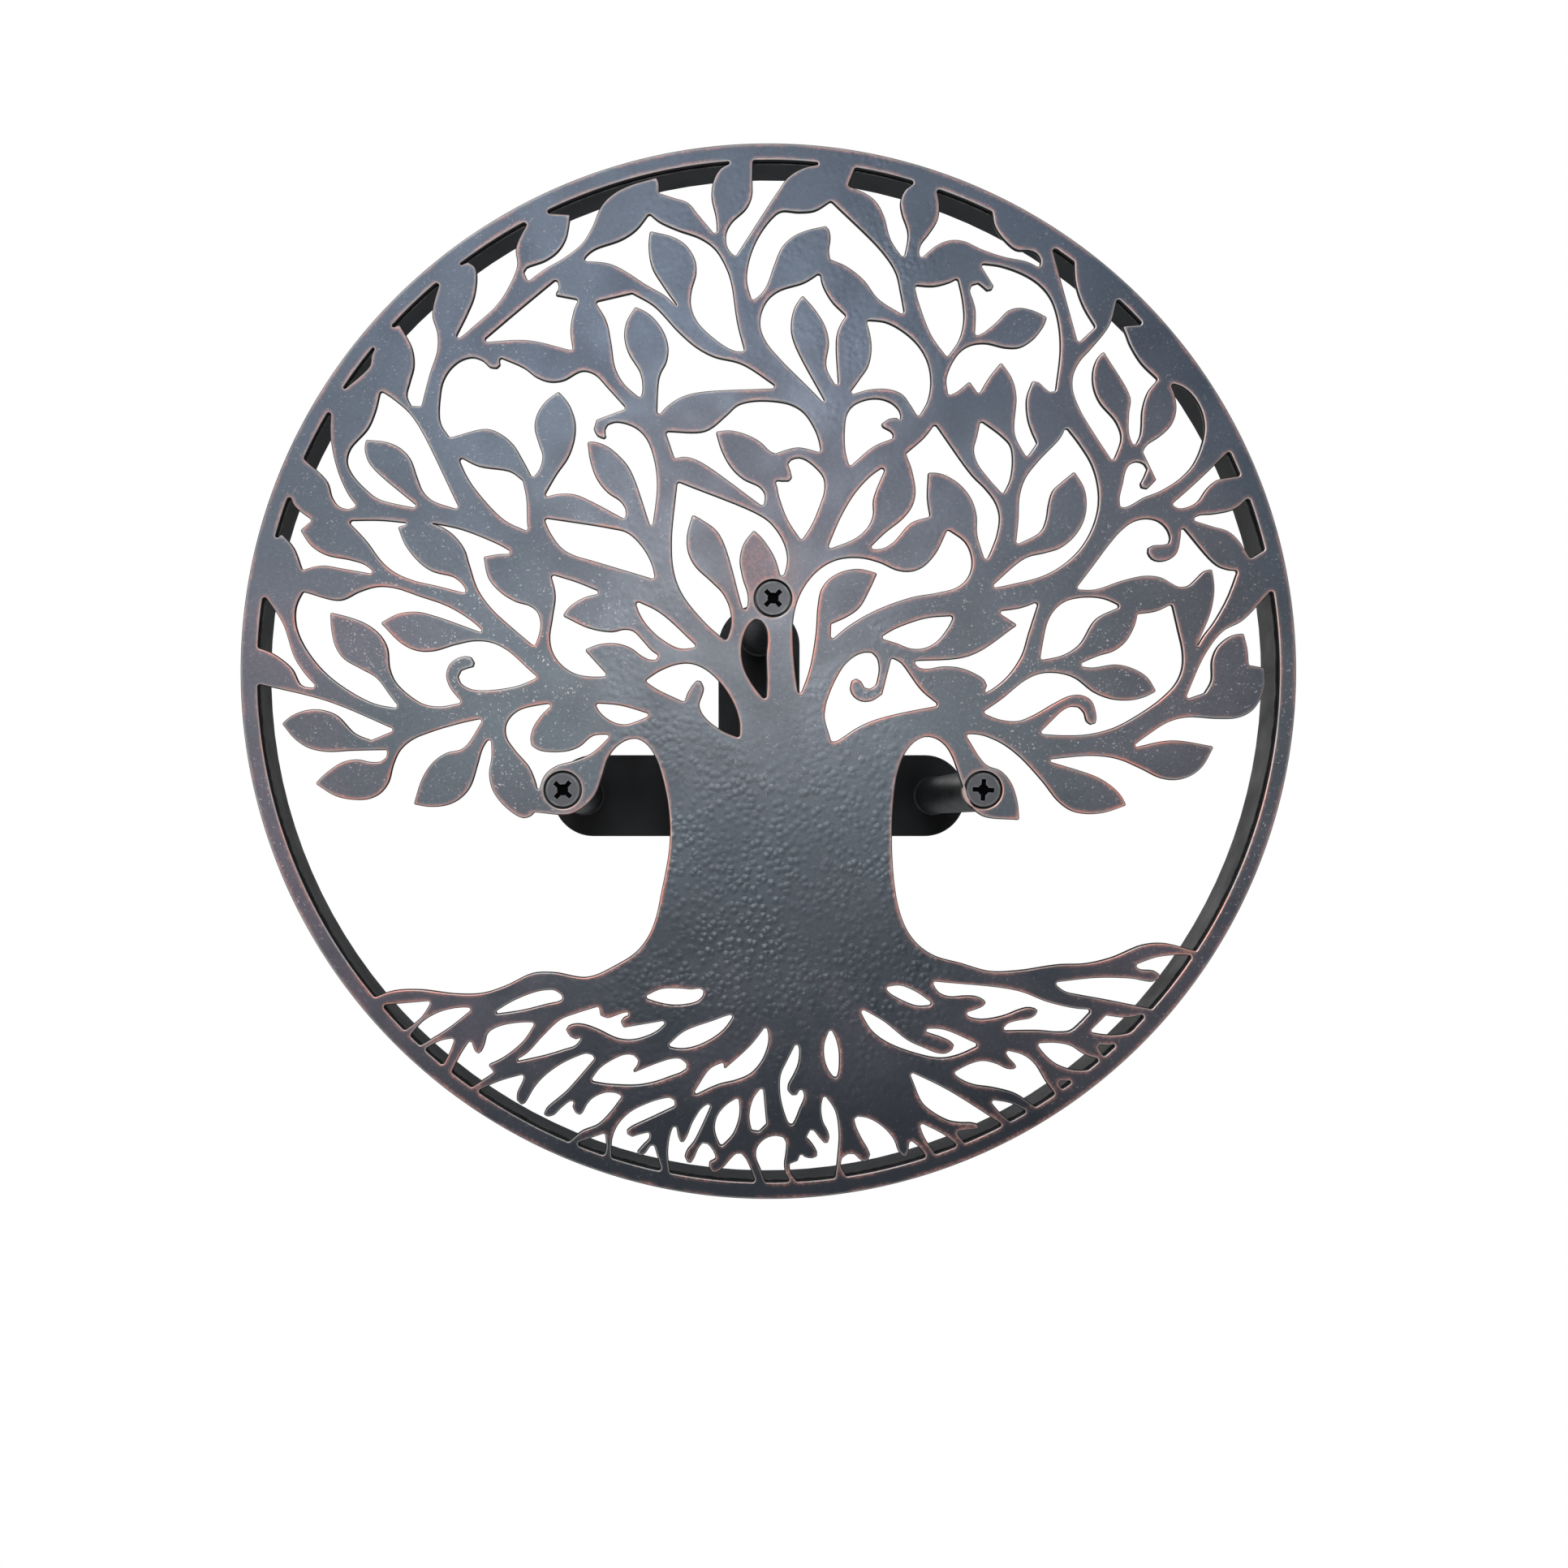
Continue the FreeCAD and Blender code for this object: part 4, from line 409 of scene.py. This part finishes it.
def treeMetal():
    look = panelLook
    s = Shader(bpy.data.materials.new("tree_powder_coat"))
    side = s.axis("X")
    out = s.distance(panelCentre)
    wander = s.math("SUBTRACT", s.noise(9.0, 3.0), 0.5)
    level = s.math("ADD", s.axis("Z"), s.times(wander, 0.09))
    # painted light by height: painted sheen at mid height, painted sky reflection in the bluer crown,
    # painted shade towards the roots
    low = s.mix(s.span(level, *look["roots_heights"]), look["roots"], look["middle"])
    colour = s.mix(s.span(level, *look["crown_heights"]), low, look["crown"])
    rightward = s.span(s.math("ADD", side, s.times(wander, 0.1)), 0.05, 0.17)
    within = s.span(out, 0.15, 0.165, look["right_share"], 0.0)
    colour = s.mix(s.times(rightward, within), colour, look["right"])
    # browner patches, most of them towards the ring at half height and on the left
    halfway = s.times(s.span(level, 0.09, 0.03), s.span(level, -0.11, -0.06),
                      s.span(side, 0.08, 0.15, 1.0, 0.4))
    blotch = s.math("ADD", out, s.times(s.noise(30.0, 4.0, 0.65), 0.2))
    patina = s.times(s.span(blotch, 0.2, 0.275, 0.0, 0.6), halfway)
    colour = s.mix(patina, colour, look["patina"])
    # large soft clouds and fine mottling in the coat
    cloud = s.span(s.noise(look["cloud_scale"], 4.0, 0.6), 0.35, 0.7, 0.88, 1.1)
    fine = s.span(s.noise(look["mottle_scale"], 3.0, 0.7), 0.3, 0.7, 0.87, 1.13)
    colour = s.scaled(colour, s.times(cloud, fine))
    # pale flecks where the coat was brushed, in patches
    dots = s.span(s.noise(look["fleck_scale"], 1.0), 0.62, 0.68)
    strokes = s.span(s.noise(look["stroke_scale"], 2.0, 0.6), 0.48, 0.6)
    where = s.times(s.span(level, -0.09, 0.0, 0.2, 1.0), s.span(level, 0.1, 0.05, 0.3, 1.0),
                    s.span(s.noise(15.0, 2.0), 0.38, 0.56, 0.25, 1.0))
    outer = s.span(s.math("ABSOLUTE", side), 0.02, 0.08, 0.3, 0.75)
    flecks = s.times(dots, strokes, s.times(where, outer))
    colour = s.mix(flecks, colour, look["fleck"])
    # coat rubbed thin beside some edges, more of them on the right, and on one leaf of the crown
    closed = s.closed(look["worn_reach"])
    near = s.span(closed, 0.99, 0.78)
    patch = s.span(s.math("ADD", s.noise(60.0, 3.0, 0.6), s.span(side, 0.0, 0.08, 0.0, 0.1)), 0.45, 0.6)
    scratch = s.span(s.noise(look["scratch_scale"], 3.0, 0.7), 0.45, 0.6)
    away = s.distance(look["rubbed_leaf"])
    leaf = s.span(away, look["leaf_reach"] * 0.4, look["leaf_reach"], 0.3, 0.0)
    warmth = s.span(away, look["leaf_reach"], look["leaf_reach"] * 6, 0.06, 0.0)
    colour = s.mix(warmth, colour, look["rust"])
    thin = s.math("MAXIMUM", s.times(near, patch), leaf)
    rubbed = s.times(thin, s.math("ADD", s.times(scratch, 0.65), 0.3))
    colour = s.mix(rubbed, colour, look["rust"])
    # rounded rims of the cuts: a pale painted highlight, broken up by bare copper where the coat is worn,
    # and painted shade on the cut walls behind them
    facing = s.facing()
    band = s.times(s.span(closed, 0.74, 0.6, 0.0, 0.85), s.span(level, -0.09, -0.04, 0.3, 1.0))
    rim = s.math("MAXIMUM", s.span(facing, 0.999, 0.97), band)
    broken = s.times(s.span(s.noise(70.0, 4.0, 0.65), 0.4, 0.58), s.span(out, 0.164, 0.168, 1.0, 0.2))
    warm = s.times(s.span(level, 0.12, 0.05, 0.25, 1.0), s.span(level, -0.1, -0.06, 0.4, 1.0),
                   s.span(s.noise(22.0, 3.0, 0.6), 0.34, 0.58, 0.2, 1.0))
    # painted highlight along the rims, bare copper in worn patches
    rim_highlight_and_copper = s.mix(s.times(broken, warm), look["rim"], look["copper"])
    kept = s.times(s.span(s.noise(34.0, 3.0, 0.6), 0.36, 0.6, 0.6, 1.0),
                   s.span(level, -0.1, -0.04, 0.55, 1.0))
    colour = s.mix(s.times(rim, kept), colour, rim_highlight_and_copper)
    # painted shade: every cut wall darkened, whichever way it faces
    colour = s.mix(s.span(facing, 0.84, 0.72), colour, look["wall"])
    # orange peel on the lower trunk, with little of it elsewhere, and a fine grain
    cells = s.node("ShaderNodeTexVoronoi", {"Vector": s.place, "Scale": look["peel_scale"]})
    peel = s.span(cells.outputs["Distance"], 0.62, 0.1)
    depth = s.times(s.span(level, -0.04, 0.03, 1.0, 0.2), s.span(level, -0.115, -0.08, 0.1, 1.0))
    inside = s.span(s.math("ABSOLUTE", side), look["trunk_half"],
                    look["trunk_half"] + look["trunk_fade"], 1.0, 0.12)
    deep = s.times(depth, inside, s.span(s.noise(55.0, 2.0), 0.35, 0.62, 0.3, 1.0))
    grain = s.noise(look["grain_scale"], 2.0, 0.6)
    lift = s.math("ADD", s.times(peel, deep), s.times(grain, look["grain_share"]))
    bump = s.node("ShaderNodeBump", {"Strength": 1.0, "Distance": look["peel_depth"], "Height": lift})
    rough = s.span(s.noise(60.0, 3.0), 0.3, 0.7, look["roughness"] - 0.06, look["roughness"] + 0.07)
    return s.coat(colour, look["metallic"], rough, bump)


# Satin black coat of the hoop, the back plate and the standoffs, and the dark grey screws

coatLook = {
    "hoop": {"tone": srgb(9, 9, 10), "edge_wear_and_highlight": 0.3, "gloss": 0.25, "roughness": 0.34},
    "plate": {"tone": srgb(12, 12, 14), "edge_wear_and_highlight": 0.2, "gloss": 0.22, "roughness": 0.42},
    "standoff": {"tone": srgb(40, 40, 41), "edge_wear_and_highlight": 0.2, "gloss": 0.3, "roughness": 0.42},
    "screw": {"tone": srgb(68, 68, 71), "edge_wear_and_highlight": 0.5, "gloss": 0.3, "roughness": 0.42},
    "metallic": 0.1,
    # pale edge colour: partly wear, partly a painted highlight of the lit edges
    "edge": srgb(122, 118, 116),
    "edge_reach": 0.0007,
    "grain_scale": 1100.0,
    "grain_depth": 0.00008,
    # painted shade colour for the screw heads' cross recess
    "recess": srgb(9, 9, 10),
    "recess_start": 0.0002,
    "recess_fade": 0.0002,
}


def blackCoat(kind, recess=None):
    look = coatLook[kind]
    s = Shader(bpy.data.materials.new(kind + "_coat"))
    cloud = s.span(s.noise(40.0, 4.0, 0.6), 0.3, 0.7, 0.85, 1.2)
    # pale edges near every corner of the metal: partly wear, partly painted highlight
    rim = s.span(s.closed(coatLook["edge_reach"]), 0.93, 0.5)
    broken = s.span(s.noise(210.0, 4.0, 0.65), 0.38, 0.62)
    edge_wear_and_highlight = s.times(rim, broken, look["edge_wear_and_highlight"])
    colour = s.mix(edge_wear_and_highlight, s.scaled(look["tone"][:3], cloud), coatLook["edge"])
    shine = look["gloss"]
    # painted shade: below the given depth the screw head's cross recess turns dark and loses its shine
    if recess is not None:
        deep = s.span(s.axis("Y"), recess, recess + coatLook["recess_fade"])
        colour = s.mix(deep, colour, coatLook["recess"])
        shine = s.times(s.math("SUBTRACT", 1.0, deep), look["gloss"])
    grain = s.noise(coatLook["grain_scale"], 3.0, 0.55)
    bump = s.node("ShaderNodeBump", {"Strength": 0.5, "Distance": coatLook["grain_depth"], "Height": grain})
    rough = s.span(s.noise(75.0, 3.0), 0.3, 0.7, look["roughness"] - 0.06, look["roughness"] + 0.08)
    return s.coat(colour, coatLook["metallic"], rough, bump, **{"Specular IOR Level": shine})


def wear(node, material):
    node.data.materials.clear()
    node.data.materials.append(material)


wear(treeSheet, treeMetal())
wear(nodes["rim_hoop"], blackCoat("hoop"))
wear(nodes["back_plate"], blackCoat("plate"))
standoffCoat = blackCoat("standoff")
screwCoat = blackCoat("screw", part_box("panel_screw_top")[0].y + coatLook["recess_start"])
for side in ("top", "left", "right"):
    wear(nodes["standoff_" + side], standoffCoat)
    wear(nodes["panel_screw_" + side], screwCoat)
print("materials on")

# Floor, backdrop, light and camera

discCentre = Vector((-0.0015, -0.104, 0.0382))

room = {
    "backdrop": (1.0, 1.0, 1.0, 1.0),
    "floor_tone": (0.8, 0.8, 0.8, 1.0),
    "floor_size": 4.0,
    "floor_height": cadBox[0].z - 0.25,
    "world_light": 0.27,
    "world_up": (-0.35, 0.0, 0.9),
    "world_rise": (-0.5, 0.6),
    "world_low": (0.30, 0.28, 0.27, 1.0),
    "world_high": (0.86, 0.93, 1.0, 1.0),
}

lights = {
    "key": {"place": (-0.7, -1.9, 1.5), "size": 1.2, "power": 31.0, "colour": (0.93, 0.96, 1.0)},
    "fill": {"place": (-1.1, -1.3, 0.1), "size": 1.2, "power": 6.0, "colour": (1.0, 0.97, 0.95)},
    "sheen": {"place": (0.0, -1.65, 0.43), "size": 0.4, "power": 10.4, "colour": (0.93, 0.97, 1.0)},
    # from behind, for a satin band inside the hoop
    "back": {"place": (-0.2, 0.95, 0.24), "size": 0.35, "power": 0.35, "colour": (1.0, 0.98, 0.95)},
}

cameraLook = {
    "lens": 35.0,
    "sensor": 36.0,
    "shift": (0.0589, 0.0253),
    "nearest": 0.01,
    "place": (discCentre.x - 0.0247, -0.5955, discCentre.z - 0.0491),
}


def makeFloor():
    work = bmesh.new()
    bmesh.ops.create_grid(work, x_segments=1, y_segments=1, size=room["floor_size"])
    bmesh.ops.translate(work, verts=work.verts, vec=(0, 0, room["floor_height"]))
    mesh = bpy.data.meshes.new("floor")
    work.to_mesh(mesh)
    work.free()
    floor = bpy.data.objects.new("floor", mesh)
    scene.collection.objects.link(floor)
    s = Shader(bpy.data.materials.new("floor_white"))
    plain = s.node("ShaderNodeBsdfDiffuse", {"Color": room["floor_tone"]})
    glow = s.node("ShaderNodeEmission", {"Color": room["backdrop"], "Strength": 1.0})
    mixed = s.node("ShaderNodeMixShader", {0: s.seen(), 1: plain.outputs[0], 2: glow.outputs[0]})
    mesh.materials.append(s.surface(mixed))


def makeWorld():
    scene.world = bpy.data.worlds.new("studio")
    s = Shader(scene.world, "ShaderNodeOutputWorld")
    along = s.node("ShaderNodeVectorMath", {0: s.spot.outputs["Generated"], 1: room["world_up"]},
                   operation="DOT_PRODUCT")
    rise = s.span(along.outputs["Value"], *room["world_rise"])
    tint = s.mix(rise, room["world_low"], room["world_high"])
    soft = s.node("ShaderNodeBackground", {"Color": tint, "Strength": room["world_light"]})
    plain = s.node("ShaderNodeBackground", {"Color": room["backdrop"]})
    mixed = s.node("ShaderNodeMixShader", {0: s.seen(), 1: soft.outputs[0], 2: plain.outputs[0]})
    s.surface(mixed)


def areaLight(name, look):
    light = bpy.data.lights.new(name, "AREA")
    light.shape = "SQUARE"
    light.size = look["size"]
    light.energy = look["power"]
    light.color = look["colour"]
    made = bpy.data.objects.new(name, light)
    made.location = look["place"]
    made.rotation_mode = "QUATERNION"
    made.rotation_quaternion = (discCentre - Vector(look["place"])).to_track_quat("-Z", "Y")
    made.visible_camera = False
    scene.collection.objects.link(made)


def makeCamera():
    lens = bpy.data.cameras.new("camera")
    lens.lens = cameraLook["lens"]
    lens.sensor_width = cameraLook["sensor"]
    lens.shift_x, lens.shift_y = cameraLook["shift"]
    lens.clip_start = cameraLook["nearest"]
    camera = bpy.data.objects.new("camera", lens)
    camera.location = cameraLook["place"]
    camera.rotation_euler = (math.pi / 2, 0.0, 0.0)
    scene.collection.objects.link(camera)
    scene.camera = camera


makeFloor()
makeWorld()
for name, look in lights.items():
    areaLight(name, look)
makeCamera()
scene.view_settings.view_transform = "Standard"
print("room, lights and camera set")
